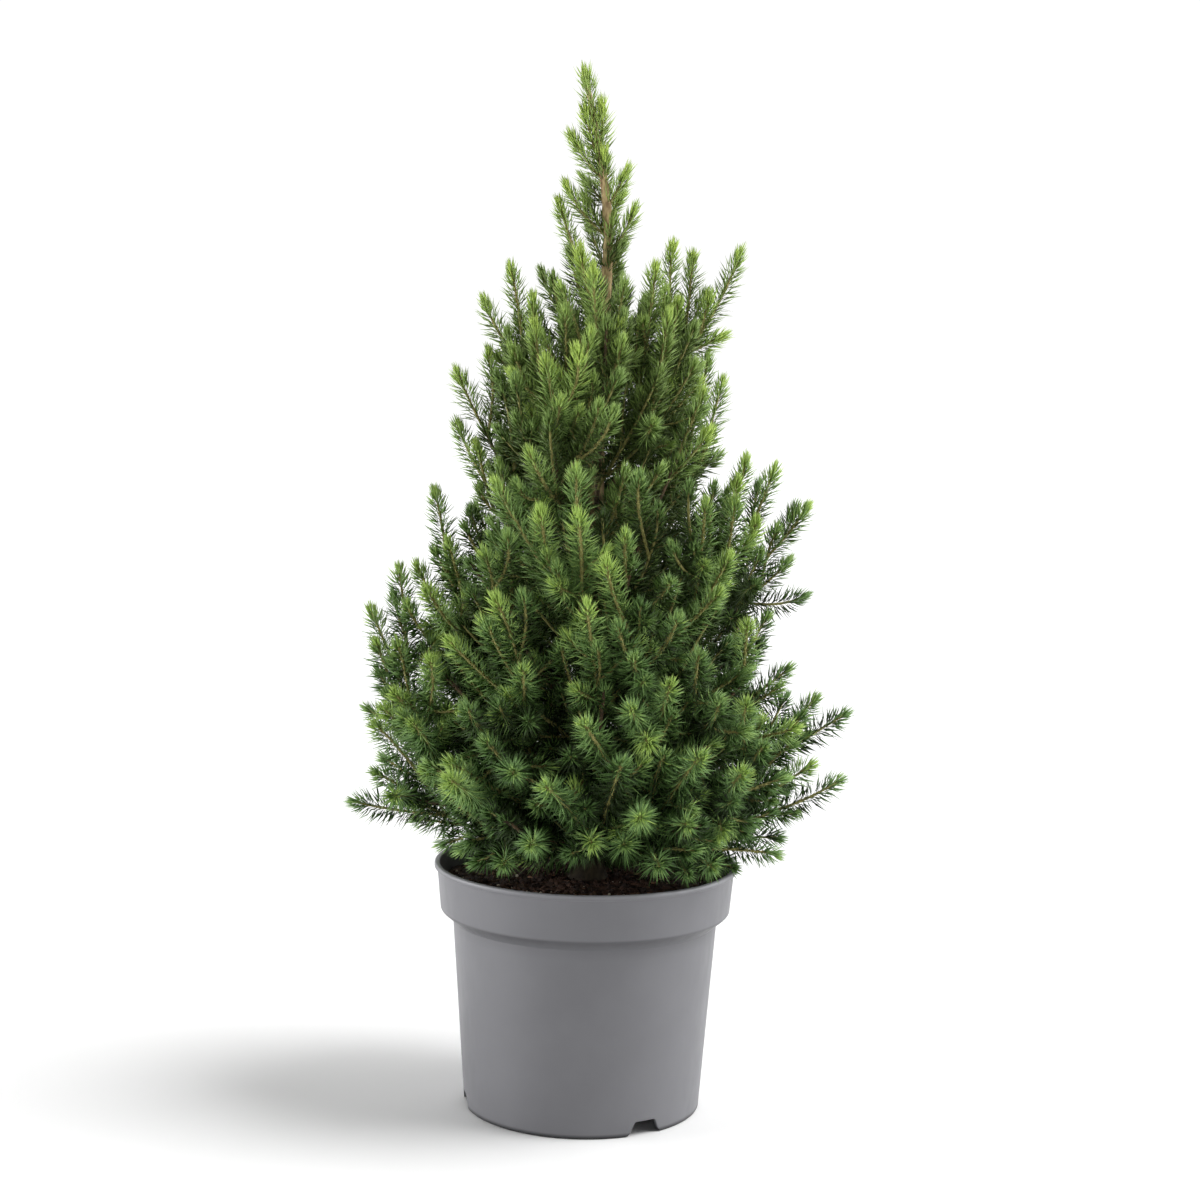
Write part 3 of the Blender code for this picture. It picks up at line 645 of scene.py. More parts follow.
def lump_shape():
    """Return a small round lump's corners and faces, as arrays."""
    bm = bmesh.new()
    bmesh.ops.create_icosphere(bm, subdivisions=1, radius=1.0)
    corners = np.array([v.co for v in bm.verts])
    faces = np.array([[v.index for v in f.verts] for f in bm.faces])
    bm.free()
    return corners, faces


def scatter_lumps(name, count, smallest, largest, shape, finish, seed):
    """Scatter uneven lumps over the compost as one joined mesh."""
    rng = np.random.default_rng(seed)
    corners, faces = lump_shape()
    out = DRESSED_RADIUS * np.sqrt(rng.random(count))
    turn = rng.random(count) * math.tau
    size = smallest + (largest - smallest) * rng.random(count) ** 3
    scale = size[:, None, None] * (np.array(shape) * (0.75 + 0.5 * rng.random((count, 3))))[:, None, :]
    points = corners[None] * (0.78 + 0.44 * rng.random((count, len(corners), 1))) * scale
    yaw = rng.random(count) * math.tau
    tilt = rng.normal(0.0, 0.35, count)
    c, s = np.cos(tilt)[:, None], np.sin(tilt)[:, None]
    x, y, z = np.moveaxis(points, -1, 0)
    y, z = y * c - z * s, y * s + z * c
    c, s = np.cos(yaw)[:, None], np.sin(yaw)[:, None]
    x, y = x * c - y * s, x * s + y * c
    px, py = out * np.cos(turn), out * np.sin(turn)
    pz = np.array([compost_height(a, b) for a, b in zip(px, py)]) + 0.25 * size * shape[2]
    places = np.stack([x + px[:, None], y + py[:, None], z + pz[:, None]], -1)
    index = faces[None] + (np.arange(count) * len(corners))[:, None, None]
    mesh = joined_mesh(name, places, [index.reshape(-1, 3)], smooth=False)
    link_piece(name, mesh, finish)


def dress_compost():
    """Dress the compost with crumbs, flakes of bark and grains of perlite."""
    for seed, (name, count, smallest, largest, shape, *look) in enumerate(COMPOST_DRESSING, 11):
        scatter_lumps(name, count, smallest, largest, shape, plain_finish(*look), seed)


# ---------------------------------------------------------------- limbs
def trunk_centre(height):
    """Return the trunk's centre at a height: upright, bowed in the leader, leaning at its tip."""
    share = max(0.0, (height - LEAN_START) / (TRUNK_TOP - LEAN_START))
    bowed = min(1.0, max(0.0, (height - BOW_START) / (TRUNK_TOP - BOW_START)))
    across = TRUNK_BOW * math.sin(math.pi * bowed) + LEAN_AT_TOP * share ** 1.2
    return np.array((TRUNK_X + across, 0.0, height))


def trunk_radius(height):
    """Return the trunk's radius at a height: a taper to the tip and a flare at the roots."""
    share = (TRUNK_TOP - height) / (TRUNK_TOP - TRUNK_FOOT)
    taper = TRUNK_TIP_RADIUS + (TRUNK_RADIUS - TRUNK_TIP_RADIUS) * max(0.0, share) ** TRUNK_TAPER
    return taper + ROOT_FLARE * math.exp(-(height - TRUNK_FOOT) / ROOT_FLARE_HEIGHT)


def spine_height(tier, out):
    """Return the height of a tier's middle surface at a distance from the trunk."""
    return tier.fork + (tier.tip_height - tier.fork) * (out / tier.reach) ** tier.curve


def unit(vector):
    """Return a vector, or each row of an array, at a length of one."""
    return vector / np.maximum(np.linalg.norm(vector, axis=-1, keepdims=True), 1e-9)


def direction(turn, rise):
    """Return the direction at a turn round the Z axis and a rise above the level, in radians."""
    return math.cos(turn) * math.cos(rise), math.sin(turn) * math.cos(rise), math.sin(rise)


def ways_along(path):
    """Return the direction of a path at each of its points."""
    return unit(np.gradient(path, axis=0))


def lengths_along(path):
    """Return how far along a path each of its points lies."""
    return np.concatenate([[0.0], np.cumsum(np.linalg.norm(np.diff(path, axis=0), axis=1))])


def frame_along(path, at):
    """Return the place at a distance along a path, the path's way there and two ways square to it."""
    along, ways = lengths_along(path), ways_along(path)
    place = np.stack([np.interp(at, along, path[:, k]) for k in range(3)], -1)
    way = unit(np.stack([np.interp(at, along, ways[:, k]) for k in range(3)], -1))
    side = unit(np.cross(way, ASLANT))
    return place, way, side, np.cross(way, side)


def stem_radius(shoot, left):
    """Return a shoot's radius at a distance from its tip: thin there and thicker below."""
    return shoot.radius + STEM_TAPER * np.minimum(left, TAPER_LENGTH)


def grow_limb(path, radii, sides):
    """Extrude a ring along a path into a closed, tapering limb."""
    bm = bmesh.new()
    path = [Vector(p) for p in path]
    ways = [Vector(w) for w in ways_along(np.array([tuple(p) for p in path]))]
    turn = Vector((0.0, 0.0, 1.0)).rotation_difference(ways[0]).to_matrix().to_4x4()
    frames = [Matrix.Translation(path[0]) @ turn @ Matrix.Scale(radii[0], 4)]
    for index in range(1, len(path)):
        turn = ways[index - 1].rotation_difference(ways[index]).to_matrix().to_4x4() @ turn
        frames.append(Matrix.Translation(path[index]) @ turn @ Matrix.Scale(radii[index], 4))
    ring = bmesh.ops.create_circle(bm, cap_ends=True, segments=sides, radius=1.0)["verts"]
    edges = list({e for v in ring for e in v.link_edges})
    bmesh.ops.transform(bm, matrix=frames[0], verts=ring)
    for before, after in zip(frames, frames[1:]):
        grown = bmesh.ops.extrude_edge_only(bm, edges=edges)["geom"]
        verts = [g for g in grown if isinstance(g, bmesh.types.BMVert)]
        edges = [g for g in grown if isinstance(g, bmesh.types.BMEdge) and all(v in verts for v in g.verts)]
        bmesh.ops.transform(bm, matrix=after @ before.inverted(), verts=verts)
    bmesh.ops.contextual_create(bm, geom=edges)
    bmesh.ops.recalc_face_normals(bm, faces=bm.faces)
    return bm


def raise_bark(bm, size, depth, seed):
    """Raise the relief of the bark: long flakes between shallow cracks."""
    bm.normal_update()
    shift = Vector((seed * 3.1, seed * 1.7, 0.0))
    moves = []
    for vert in bm.verts:
        point = Vector((vert.co.x / size, vert.co.y / size, vert.co.z / (2.6 * size))) + shift
        flake = abs(noise.noise(point)) ** 0.6
        grain = noise.noise(point * 2.7)
        moves.append(vert.normal * depth * (1.4 * flake - 0.5 + 0.35 * grain))
    for vert, move in zip(bm.verts, moves):
        vert.co += move


def build_trunk(finish):
    """Build the trunk with its flare, its taper and its bark."""
    rise = TRUNK_TOP - TRUNK_FOOT
    heights = [TRUNK_FOOT + rise * step / TRUNK_STEPS for step in range(TRUNK_STEPS + 1)]
    bm = grow_limb([trunk_centre(h) for h in heights], [trunk_radius(h) for h in heights], TRUNK_SIDES)
    raise_bark(bm, *TRUNK_BARK_RELIEF, 1)
    for vert in bm.verts:
        if vert.co.z < TRUNK_FOOT + 0.0006:
            vert.co.z = TRUNK_FOOT
    link_piece("trunk_with_bark", mesh_from(bm, "trunk_with_bark"), finish, ("trunk",))


def make_boughs():
    """Return each bough's tier, place in its tier, path and radii, from the trunk to its tip."""
    boughs = []
    for level, tier in enumerate(TIERS):
        scatter = random.Random(PART_SEED + level)
        for index in range(tier.count):
            angle = math.radians(tier.turn) + index * math.tau / tier.count
            reach = tier.reach * (1.0 + tier.bias * math.cos(angle))
            reach *= 1.0 + scatter.uniform(-REACH_SCATTER, REACH_SCATTER)
            lift = scatter.uniform(-FORK_SCATTER, FORK_SCATTER)
            path, radii = [], []
            for step in range(BOUGH_STEPS + 1):
                out = BOUGH_START + (BOUGH_SHARE * reach - BOUGH_START) * step / BOUGH_STEPS
                share = min(1.0, out / tier.start)
                height = spine_height(tier, out) + lift * (1.0 - share) ** 2
                wander = Vector((out * 22.0, 5.0 * level + index, 2.0))
                sway = 0.035 * share * noise.noise(wander) * (out / reach)
                height += 0.006 * share * noise.noise(wander + Vector((0.0, 9.0, 4.0)))
                turn = angle + sway
                path.append((TRUNK_X + out * math.cos(turn), out * math.sin(turn), height))
                inner = tier.bough * (1.0 - (1.0 - BOUGH_TAPER) * share)
                outer = max(0.0, out - tier.start) / max(1e-6, BOUGH_SHARE * reach - tier.start)
                radii.append(inner + (BOUGH_TIP_RADIUS - inner) * outer ** 0.8)
            boughs.append((tier.name, index + 1, np.array(path), np.array(radii)))
    return boughs


def build_boughs(boughs, finish):
    """Build every tier's boughs with their bark, as one mesh to a tier."""
    for tier in TIERS:
        whole = bmesh.new()
        names = []
        for place, (name, number, path, radii) in enumerate(boughs):
            if name != tier.name:
                continue
            limb = grow_limb(path, radii, BOUGH_SIDES)
            raise_bark(limb, *BOUGH_BARK_RELIEF, 5 + place)
            piece = bpy.data.meshes.new("limb")
            limb.to_mesh(piece)
            limb.free()
            whole.from_mesh(piece)
            bpy.data.meshes.remove(piece)
            names.append("%s_bough_%d" % (name, number))
        label = tier.name + "_boughs"
        link_piece(label, mesh_from(whole, label), finish, names)


# ---------------------------------------------------------------- the crown's growth
# A shoot has a path, a vigour (which decides its tones), a bare length at its base, the radius of its
# tip, how widely its needles spread and a seed.
Shoot = namedtuple("Shoot", "path vigour bare radius loose seed")


def crown_reach(x, y, height):
    """Return how far the crown reaches at a height, in the direction of a point."""
    across, deep = x - TRUNK_X, y
    out = math.hypot(across, deep) or 1e-6
    side = np.interp(height, CROWN_HEIGHTS, CROWN_RIGHT if across > 0.0 else CROWN_LEFT)
    depth = np.interp(height, CROWN_HEIGHTS, CROWN_DEPTH)
    return 1.0 / math.sqrt((across / out / side) ** 2 + (deep / out / depth) ** 2)


def arched_path(start, leave, end, arrive, bend=0.16, straight=0.50):
    """Return a path that bends away from its limb and then runs nearly straight to its tip."""
    reach = np.linalg.norm(end - start)
    count = max(4, int(reach / 0.005) + 1)
    t = np.linspace(0.0, 1.0, count)[:, None]
    near = start + leave * bend * reach
    far = end - arrive * straight * reach
    return start * (1 - t) ** 3 + 3 * near * t * (1 - t) ** 2 + 3 * far * t ** 2 * (1 - t) + end * t ** 3


class Crown:
    """The limbs and shoots grown so far, which a new shoot can fork from."""

    def __init__(self):
        self.places = np.zeros((0, 3))
        self.ways = np.zeros((0, 3))
        self.shoots = []
        self.tips = []

    def add_path(self, path, ripe=1.0):
        """Let new shoots fork from a path, as far along it as it is ripe."""
        count = max(2, int(len(path) * ripe))
        self.places = np.vstack([self.places, path[:count]])
        self.ways = np.vstack([self.ways, ways_along(path)[:count]])

    def best_fork(self, knee, way):
        """Return the place that a shoot forks from to come through its knee in its direction."""
        gap = knee - self.places
        far = np.linalg.norm(gap, axis=1)
        toward = unit(gap)
        along = toward @ way
        turn = (toward * self.ways).sum(1)
        cost = far * (1.0 + 4.4 * (1.0 - along) + 1.1 * (1.0 - turn))
        cost[(along < 0.35) | (turn < 0.05) | (far < 0.010)] = 9.0
        return int(np.argmin(cost))

    def grow(self, tip, knee, vigour, seed, loose):
        """Grow one shoot from the best fork through its knee to its tip."""
        way = unit(tip - knee)
        fork = self.best_fork(knee, way)
        start, parent = self.places[fork], self.ways[fork]
        leave = unit(0.8 * parent + unit(knee - start))
        arrive = unit(way + np.array((0.0, 0.0, 0.10 * (1.0 - loose))))
        path = arched_path(start, leave, tip, arrive)
        bare = BARE_SHARE * np.linalg.norm(np.diff(path, axis=0), axis=1).sum()
        self.shoots.append(Shoot(path, vigour, bare, 0.0007, loose, seed))
        self.tips.append(tip)
        self.add_path(path, RIPE_SHARE)


def looseness(height):
    """Return how widely needles spread: tight brushes in the upper crown, loose ones below."""
    return float(np.interp(height, LOOSE_HEIGHTS, LOOSENESS))


def rise_at(height):
    """Return how steeply a shoot rises at a height, in radians."""
    return math.radians(np.interp(height, RISE_HEIGHTS, RISE))


def in_hollow(tip):
    """Tell whether a tip would close one of the dark hollows between the front shoots."""
    if math.hypot(tip[0] - SKY_GAP[0], tip[2] - SKY_GAP[1]) < SKY_GAP[2]:
        return True
    if tip[1] > 0.0:
        return False
    if tip[1] < -0.02 and tip[2] < LOWEST_FRONT_TIP:
        return True
    return any(math.hypot(tip[0] - x, tip[2] - z) < size for x, z, size in HOLLOWS)


def seen_at(across, down, depth):
    """Return the place at one depth that the camera sees at a point of its frame."""
    half = 0.5 * FRAME_STEPS
    focus = FRAME_STEPS * CAMERA_LENS / SENSOR_WIDTH
    sight = CAMERA_TURN @ Vector(((across - half) / focus, (half - down) / focus, -1.0))
    return np.array(CAMERA_PLACE + sight * ((depth - CAMERA_PLACE.y) / sight.y))


def leading_shoot(lead):
    """Return the tip of a leading shoot, on the crown's surface, and a lower point of its stem."""
    depth = 0.0
    for _ in range(SETTLING_ROUNDS):
        tip = seen_at(lead.tip_across, lead.tip_down, depth)
        reach = np.interp(tip[2], FRONT_HEIGHTS, FRONT_REACH)
        deep = math.sqrt(max(reach ** 2 - (tip[0] - TRUNK_X) ** 2, (0.25 * reach) ** 2))
        depth = -FRONT_SHARE * lead.nearness * deep
    tip = seen_at(lead.tip_across, lead.tip_down, depth)
    inward = 1.0 if depth < 0.0 else -1.0
    knee_depth = depth + 0.02 * inward
    for _ in range(SETTLING_ROUNDS):
        knee = seen_at(lead.stem_across, lead.stem_down, knee_depth)
        across, rise = tip[0] - knee[0], tip[2] - knee[2]
        if lead.length:
            run = (lead.length / 1000.0) ** 2 - across ** 2 - rise ** 2
        else:
            run = (max(rise, 0.002) / math.tan(rise_at(tip[2]))) ** 2 - across ** 2
        run = min(math.sqrt(max(run, 0.0)), 0.85 * abs(depth) + 0.004)
        knee_depth = 0.5 * knee_depth + 0.5 * (depth + inward * run)
    return tip, seen_at(lead.stem_across, lead.stem_down, knee_depth)


def grow_leading_shoots(crown):
    """Grow the shoots that give the plant its outline and its front, the inmost ones first."""
    placed = [(lead, *leading_shoot(lead)) for lead in (LeadingShoot(*row) for row in LEADING_SHOOTS)]
    placed.sort(key=lambda row: math.hypot(row[2][0], row[2][1]))
    for number, (lead, tip, knee) in enumerate(placed):
        way = unit(tip - knee)
        end = tip - way * LEAD_NEEDLE_REACH
        if np.linalg.norm(end - knee) < SHORTEST_STEM:
            knee = end - way * SHORTEST_STEM
        crown.grow(end, knee, lead.youth, 1000 + number, looseness(tip[2]))


def grow_crown_layer(crown, share, spacing, tries, seed, vigours, length):
    """Grow shoots to places spread evenly over one layer of the crown."""
    rng = random.Random(seed)
    taken = np.array(crown.tips)
    found = []
    for _ in range(tries):
        height = rng.uniform(LOWEST_TIP, 0.600)
        turn = rng.uniform(0.0, math.tau)
        x, y = math.cos(turn), math.sin(turn)
        out = share * crown_reach(TRUNK_X + x, y, height) * rng.uniform(0.93, 1.0)
        if out * 14.0 < rng.random():
            continue
        tip = np.array((TRUNK_X + out * x, out * y, height))
        if height > LEAN_START:
            tip[0] += trunk_centre(height)[0] - TRUNK_X
        room = spacing * (0.72 if height > 0.46 else 1.0)
        if in_hollow(tip) or np.linalg.norm(taken - tip, axis=1).min() < room:
            continue
        taken = np.vstack([taken, tip])
        found.append((out, tip, turn))
    for number, (out, tip, turn) in enumerate(sorted(found, key=lambda f: f[0])):
        lean = turn + rng.gauss(0.0, 0.30)
        rise = rise_at(tip[2]) + rng.gauss(0.0, 0.14)
        way = np.array(direction(lean, rise))
        reach = rng.uniform(*length) * (0.62 if tip[2] > 0.50 else 1.0)
        reach = min(reach, 0.92 * out / max(0.25, math.cos(rise)) + 0.012)
        end = tip - way * NEEDLE_REACH
        crown.grow(end, end - way * reach, rng.choice(vigours), seed + number, looseness(tip[2]))


def grow_side_shoots(crown, seed):
    """Grow short side shoots from the lower part of every long shoot."""
    rng = random.Random(seed)
    for shoot in list(crown.shoots):
        length = lengths_along(shoot.path)[-1]
        if length < 0.060:
            continue
        turn = rng.uniform(0.0, math.tau)
        at = 0.010 + rng.uniform(0.0, 0.010)
        while at < length - 0.040:
            start, way, side, other = frame_along(shoot.path, at)
            turn += GOLDEN_TURN
            at += rng.uniform(0.012, 0.020)
            splay = rng.uniform(0.75, 1.05)
            aside = math.cos(turn) * side + math.sin(turn) * other
            leave = unit(math.cos(splay) * way + math.sin(splay) * aside)
            reach = rng.uniform(0.022, 0.038) * (1.1 - 0.4 * at / length)
            end_way = unit(leave + np.array((0.0, 0.0, 0.55 * math.sin(rise_at(start[2])))))
            tip = start + 0.5 * reach * leave + 0.5 * reach * end_way
            out = math.hypot(tip[0] - TRUNK_X, tip[1])
            reached = crown_reach(*tip)
            if not 0.022 < out < 0.98 * reached or tip[2] < LOWEST_TIP or in_hollow(tip):
                continue
            path = arched_path(start, leave, tip, end_way, 0.35, 0.35)
            vigour = min(shoot.vigour, 1 if out / reached < 0.7 else 2)
            crown.shoots.append(Shoot(path, vigour, 0.001, 0.0006, looseness(tip[2]), rng.random()))
            crown.tips.append(tip)


def clothed_bough(path, number):
    """Return the outer half of a bough as an old shoot, so that its needles reach its end."""
    first = int(0.5 * len(path))
    return Shoot(path[first:], 0, 0.002, 0.0009, 0.6, 300 + number)


def clothed_leader():
    """Return the leader as a shoot: the trunk's own top, from where its needles begin."""
    heights = np.linspace(LEADER_NEEDLES_FOOT, TRUNK_TOP - 0.001, 18)
    path = np.array([trunk_centre(h) for h in heights])
    return Shoot(path, 2, 0.004, 0.0011, 0.0, 3)


# ---------------------------------------------------------------- twigs and needles
def tier_of(shoot):
    """Return the name of the tier that a shoot belongs to, by the middle of its outer half."""
    point = 0.5 * (shoot.path[-1] + shoot.path[len(shoot.path) // 2])
    out = math.hypot(point[0] - TRUNK_X, point[1])
    if point[2] > LEADER_FOOT and out < LEADER_REACH:
        return "leader"
    gaps = [abs(spine_height(tier, min(out, 1.2 * tier.reach)) - point[2]) for tier in TIERS]
    return TIERS[int(np.argmin(gaps))].name


def tube_arrays(path, radii, sides):
    """Return the corners and faces of one closed, tapering tube."""
    ways = ways_along(path)
    side = unit(np.cross(ways, ASLANT))
    other = np.cross(ways, side)
    turn = np.arange(sides) * math.tau / sides
    ring = side[:, None] * np.cos(turn)[None, :, None] + other[:, None] * np.sin(turn)[None, :, None]
    places = path[:, None] + ring * radii[:, None, None]
    row = np.arange(sides)
    first = (np.arange(len(path) - 1) * sides)[:, None]
    beside = (row + 1) % sides
    quads = np.stack([first + row, first + beside, first + sides + beside, first + sides + row], -1)
    caps = np.stack([row[::-1], (len(path) - 1) * sides + row])
    return places.reshape(-1, 3), quads.reshape(-1, 4), caps


def build_twigs(name, shoots, nodes):
    """Build many twigs and their pegs as one joined mesh: green at the tip, tan, then brown."""
    places, quads, caps, kinds, first = [], [], [], [], 0
    for shoot in shoots:
        along = lengths_along(shoot.path)
        radii = stem_radius(shoot, along[-1] - along)
        corners, walls, ends = tube_arrays(shoot.path, radii, TWIG_SIDES)
        places.append(corners)
        quads.append(walls + first)
        caps.append(ends + first)
        first += len(corners)
        left = along[-1] - 0.5 * (along[1:] + along[:-1])
        kinds.append(np.repeat(np.searchsorted(RIPE_AT[shoot.vigour >= 1], left), TWIG_SIDES))
    pegs, peg_kinds = zip(*(pegs_on(shoot) for shoot in shoots if shoot.vigour >= 1))
    pegs = np.concatenate(pegs)
    places.append(pegs.reshape(-1, 3))
    peg_faces = PEG_FACES[None] + (first + 4 * np.arange(len(pegs)))[:, None, None]
    groups = [np.vstack(quads), np.vstack(caps), peg_faces.reshape(-1, 3)]
    kinds += [(kind[0], kind[-1]) for kind in kinds] + [np.repeat(np.concatenate(peg_kinds), 4)]
    mesh = joined_mesh(name, np.vstack(places), groups, finish_of=np.concatenate(kinds))
    link_piece(name, mesh, TWIG_BARKS, nodes)


def wound_round(side, other, rng, sway, start=0.0):
    """Return the outward ways of things that wind round a stem, each a golden turn on from the last."""
    turn = np.arange(len(side)) * GOLDEN_TURN + rng.normal(0, sway, len(side)) + start
    return side * np.cos(turn)[:, None] + other * np.sin(turn)[:, None]


def pegs_on(shoot):
    """Return the corners and the finish of the woody pegs that the needles of one shoot stand on."""
    rng = np.random.default_rng(int(abs(shoot.seed) * 613) % 1000003 + 11)
    length = lengths_along(shoot.path)[-1]
    at = np.arange(max(shoot.bare, length - PEGGED_LENGTH), length - 0.003, PEG_SPACING)
    centre, way, side, other = frame_along(shoot.path, at)
    out = wound_round(side, other, rng, 0.3)
    across = np.cross(way, out)
    stem = stem_radius(shoot, length - at)[:, None]
    size = rng.uniform(0.0009, 0.0021, len(at))[:, None]
    root = centre + out * 0.75 * stem
    ahead = root + way * 0.0004
    point = centre + out * (stem + 0.62 * size) + way * size
    corners = np.stack([root - way * 0.0007, ahead + across * 0.0005, ahead - across * 0.0005, point], 1)
    return corners, np.searchsorted(RIPE_AT[True], length - at)


def needles_on(shoot, density):
    """Return the five corners and the tone of every needle on one shoot."""
    rng = np.random.default_rng(int(abs(shoot.seed) * 977) % 1000003 + 5)
    length = lengths_along(shoot.path)[-1]
    body = np.arange(shoot.bare, length, 1.0 / density)
    crowded = length - BUD_LENGTH * rng.random(int(BUD_LENGTH * density * 0.9)) ** 1.3
    at = np.sort(np.concatenate([body, crowded]))
    count = len(at)
    at = np.clip(at + rng.normal(0, 0.0003, count), 0, length)
    centre, way, side, other = frame_along(shoot.path, at)
    out = wound_round(side, other, rng, 0.25, shoot.seed)
    left = length - at
    # Needles hug the bud and open below it, more widely on a loose shoot.
    widest = float(np.interp(shoot.loose, LOOSE_STEPS, WIDEST_SPREAD))
    tightest = 0.18 + 0.12 * shoot.loose
    opened = np.clip((left - 0.002) / (0.021 - 0.005 * shoot.loose), 0.0, 1.0)
    spread = tightest + (widest - tightest) * opened * (2.0 - opened)
    spread += rng.normal(0, 0.19, count)
    forwards, sideways = np.cos(spread)[:, None], np.sin(spread)[:, None]
    heading = way * forwards + out * sideways
    heading[:, 2] += 0.10 - 0.34 * max(0.0, shoot.loose - 0.5)
    heading = unit(heading)
    bow = unit(out * forwards - way * sideways)
    size = (NEEDLE_LENGTH + LOOSE_NEEDLE_GAIN * shoot.loose) * rng.uniform(0.90, 1.08)
    size = size * (0.82 + 0.30 * rng.random(count))
    short = 0.34 * min(1.0, 0.3 + 2.5 * shoot.loose)
    size *= 1.0 - short * (1.0 - np.minimum(1.0, left / 0.012))
    root = centre + out * (0.7 * stem_radius(shoot, left))[:, None]
    middle = root + heading * (0.42 * size)[:, None]
    middle += bow * (size * rng.uniform(-0.03, 0.12, count))[:, None]
    across = unit(np.cross(heading, bow))
    half = NEEDLE_HALF_WIDTH * (0.9 + 0.2 * rng.random(count))[:, None]
    back = middle - bow * half * 0.5
    across = across * half
    point = root + heading * size[:, None]
    corners = np.stack([root, middle + bow * half * 0.9, back + across, back - across, point], 1)
    # The youngest needles, at the tip, are the palest.
    level = shoot.vigour + np.interp(left, PALE_LENGTHS, PALENESS)
    level = np.round(level + rng.normal(0, 0.25) + rng.normal(0, 0.42, count))
    return corners, np.clip(level, 0, len(NEEDLE_TONES) - 1).astype(int)


def build_needles(crown):
    """Build the needles of every shoot, joined by tier and by tone."""
    groups = {}
    for shoot in crown.shoots:
        x, y, z = shoot.path[-1]
        deep = math.hypot(x - TRUNK_X, y) / crown_reach(x, y, min(0.6, z))
        outer = deep > 0.80 or z > 0.52
        corners, tones = needles_on(shoot, NEEDLES_PER_METRE * (1.0 if outer else 0.70))
        for tone in range(len(NEEDLE_TONES)):
            groups.setdefault((tier_of(shoot), tone), []).append(corners[tones == tone])
    for (tier, tone), parts in sorted(groups.items()):
        corners, shape = np.concatenate(parts), NEEDLE_FACES
        if tone < 2:
            corners, shape = corners[:, DARK_NEEDLE_CORNERS], DARK_NEEDLE_FACES
        faces = shape[None] + (np.arange(len(corners)) * corners.shape[1])[:, None, None]
        name = "%s_needles_%s" % (tier, NEEDLE_TONES[tone])
        mesh = joined_mesh(name, corners, [faces.reshape(-1, 3)])
        # Each tier mixes its tone between the sunlit greens and the painted-shade greens.
        colour = mixed(SUNLIT_GREENS[tone], SHADED_GREENS[tone], COOLNESS_AND_SHADE[tier])
        finish_name = "%s_spruce_needles_%s" % (tier, NEEDLE_TONES[tone])
        finish = plain_finish(finish_name, colour, 0.52, Specular_IOR_Level=0.28)
        link_piece(name, mesh, finish, MASSES[tier])


# ---------------------------------------------------------------- build everything
build_pot()
build_compost()
dress_compost()

build_trunk(spruce_bark("young_spruce_bark", "#755F40", "#BCA778", 3.0, TRUNK_PAINTED_SHADE))
boughs = make_boughs()
build_boughs(boughs, spruce_bark("spruce_bough_bark", "#43352A", "#7C664C", 2.6))

crown = Crown()
crown.add_path(np.array([trunk_centre(h) for h in np.arange(0.160, 0.632, 0.004)]))
for name, number, path, radii in boughs:
    crown.add_path(path[4:])
grow_leading_shoots(crown)
for layer in CROWN_LAYERS:
    grow_crown_layer(crown, *layer)
grow_side_shoots(crown, SIDE_SHOOT_SEED)
TWIG_BARKS = [
    spruce_bark("green_twig_bark", "#75723C", "#A19C60", 1.5),
    spruce_bark("young_twig_bark", "#6B5236", "#9A805A", 1.8),
    spruce_bark("twig_bark", "#46362A", "#7A6044", 2.2),
]
for tier, nodes in MASSES.items():
    build_twigs(tier + "_twigs", [shoot for shoot in crown.shoots if tier_of(shoot) == tier], nodes)
crown.shoots += [clothed_bough(path, place) for place, (name, number, path, radii) in enumerate(boughs)]
crown.shoots.append(clothed_leader())
build_needles(crown)


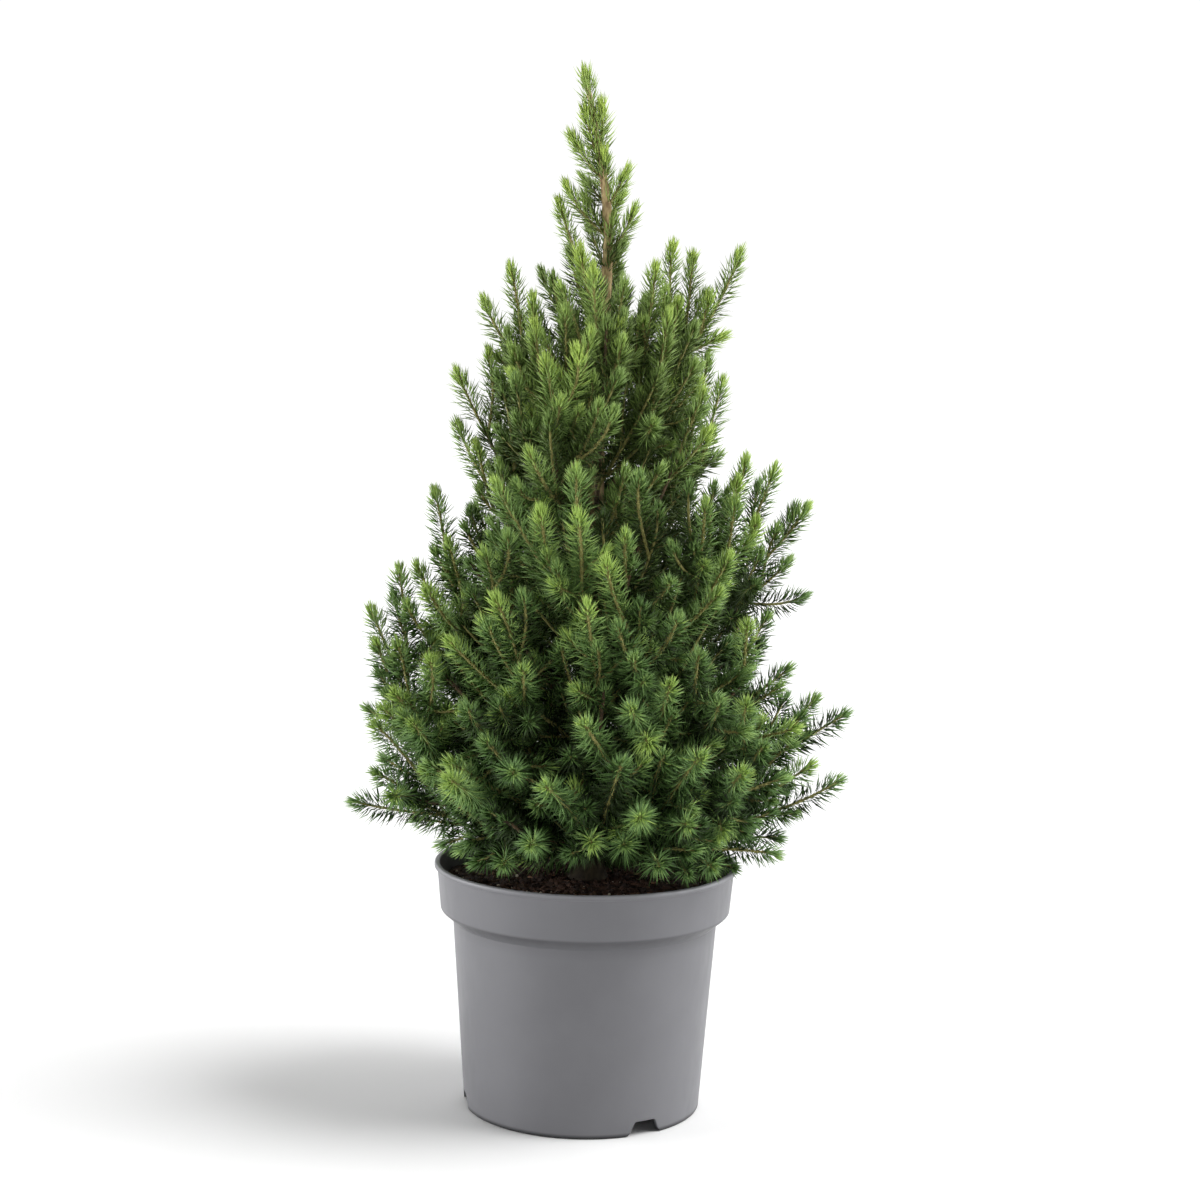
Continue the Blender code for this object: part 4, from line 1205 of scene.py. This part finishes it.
# ---------------------------------------------------------------- floor, light and camera
def build_stage():
    """Lay a plain pale floor and light it softly with a world that glows white at the walls."""
    bm = bmesh.new()
    bmesh.ops.create_grid(bm, x_segments=1, y_segments=1, size=14.0)
    floor = put_in_scene("studio_floor", mesh_from(bm, "studio_floor"))
    floor.data.materials.append(plain_finish("painted_floor", "#F4F4F4", 0.75))
    world = bpy.data.worlds.new("studio")
    world.use_nodes = True
    tree = world.node_tree
    place = add_node(tree, "ShaderNodeTexCoord", {}, {})
    parts = add_node(tree, "ShaderNodeSeparateXYZ", {}, {"Vector": place.outputs["Generated"]})
    # The walls are lit white to a little above the eye. Over them the front of the room is darker.
    settings = {"From Min": -0.4, "From Max": 0.9, "To Min": CEILING_GLOW, "To Max": WALL_GLOW}
    ceiling = add_node(tree, "ShaderNodeMapRange", settings, {"Value": parts.outputs["Y"]})
    settings = {"From Min": 0.17, "From Max": 0.32, "To Min": WALL_GLOW}
    sources = {"Value": parts.outputs["Z"], "To Max": ceiling.outputs["Result"]}
    glow = add_node(tree, "ShaderNodeMapRange", settings, sources)
    shade = tree.nodes["Background"]
    shade.inputs["Color"].default_value = (1.0, 1.0, 1.0, 1.0)
    tree.links.new(glow.outputs["Result"], shade.inputs["Strength"])
    bpy.context.scene.world = world


def add_side_light(name, bearing, height, strength, softness):
    """Add one even, soft side light, from a compass bearing and a height in degrees."""
    lamp = bpy.data.lights.new(name, "SUN")
    lamp.energy = strength
    lamp.angle = math.radians(softness)
    toward = Vector(direction(math.radians(bearing), math.radians(height)))
    put_in_scene(name, lamp).rotation_euler = (-toward).to_track_quat("-Z", "Y").to_euler()


def set_camera():
    """Set the camera in front of the pot, a little above it and looking down."""
    lens = bpy.data.cameras.new("camera")
    lens.lens = CAMERA_LENS
    lens.sensor_width = SENSOR_WIDTH
    lens.clip_start = 0.05
    camera = put_in_scene("camera", lens)
    camera.location = CAMERA_PLACE
    camera.rotation_euler = CAMERA_TURN.to_euler()
    bpy.context.scene.camera = camera


CEILING_GLOW = 0.05
WALL_GLOW = 1.04
build_stage()
add_side_light("top_light", -10.0, 60.0, 2.2, 30.0)
add_side_light("right_light", -1.0, 6.0, 3.1, 50.0)
add_side_light("left_light", 183.0, 0.0, 5.4, 50.0)
set_camera()
bpy.context.scene.view_settings.view_transform = "Standard"
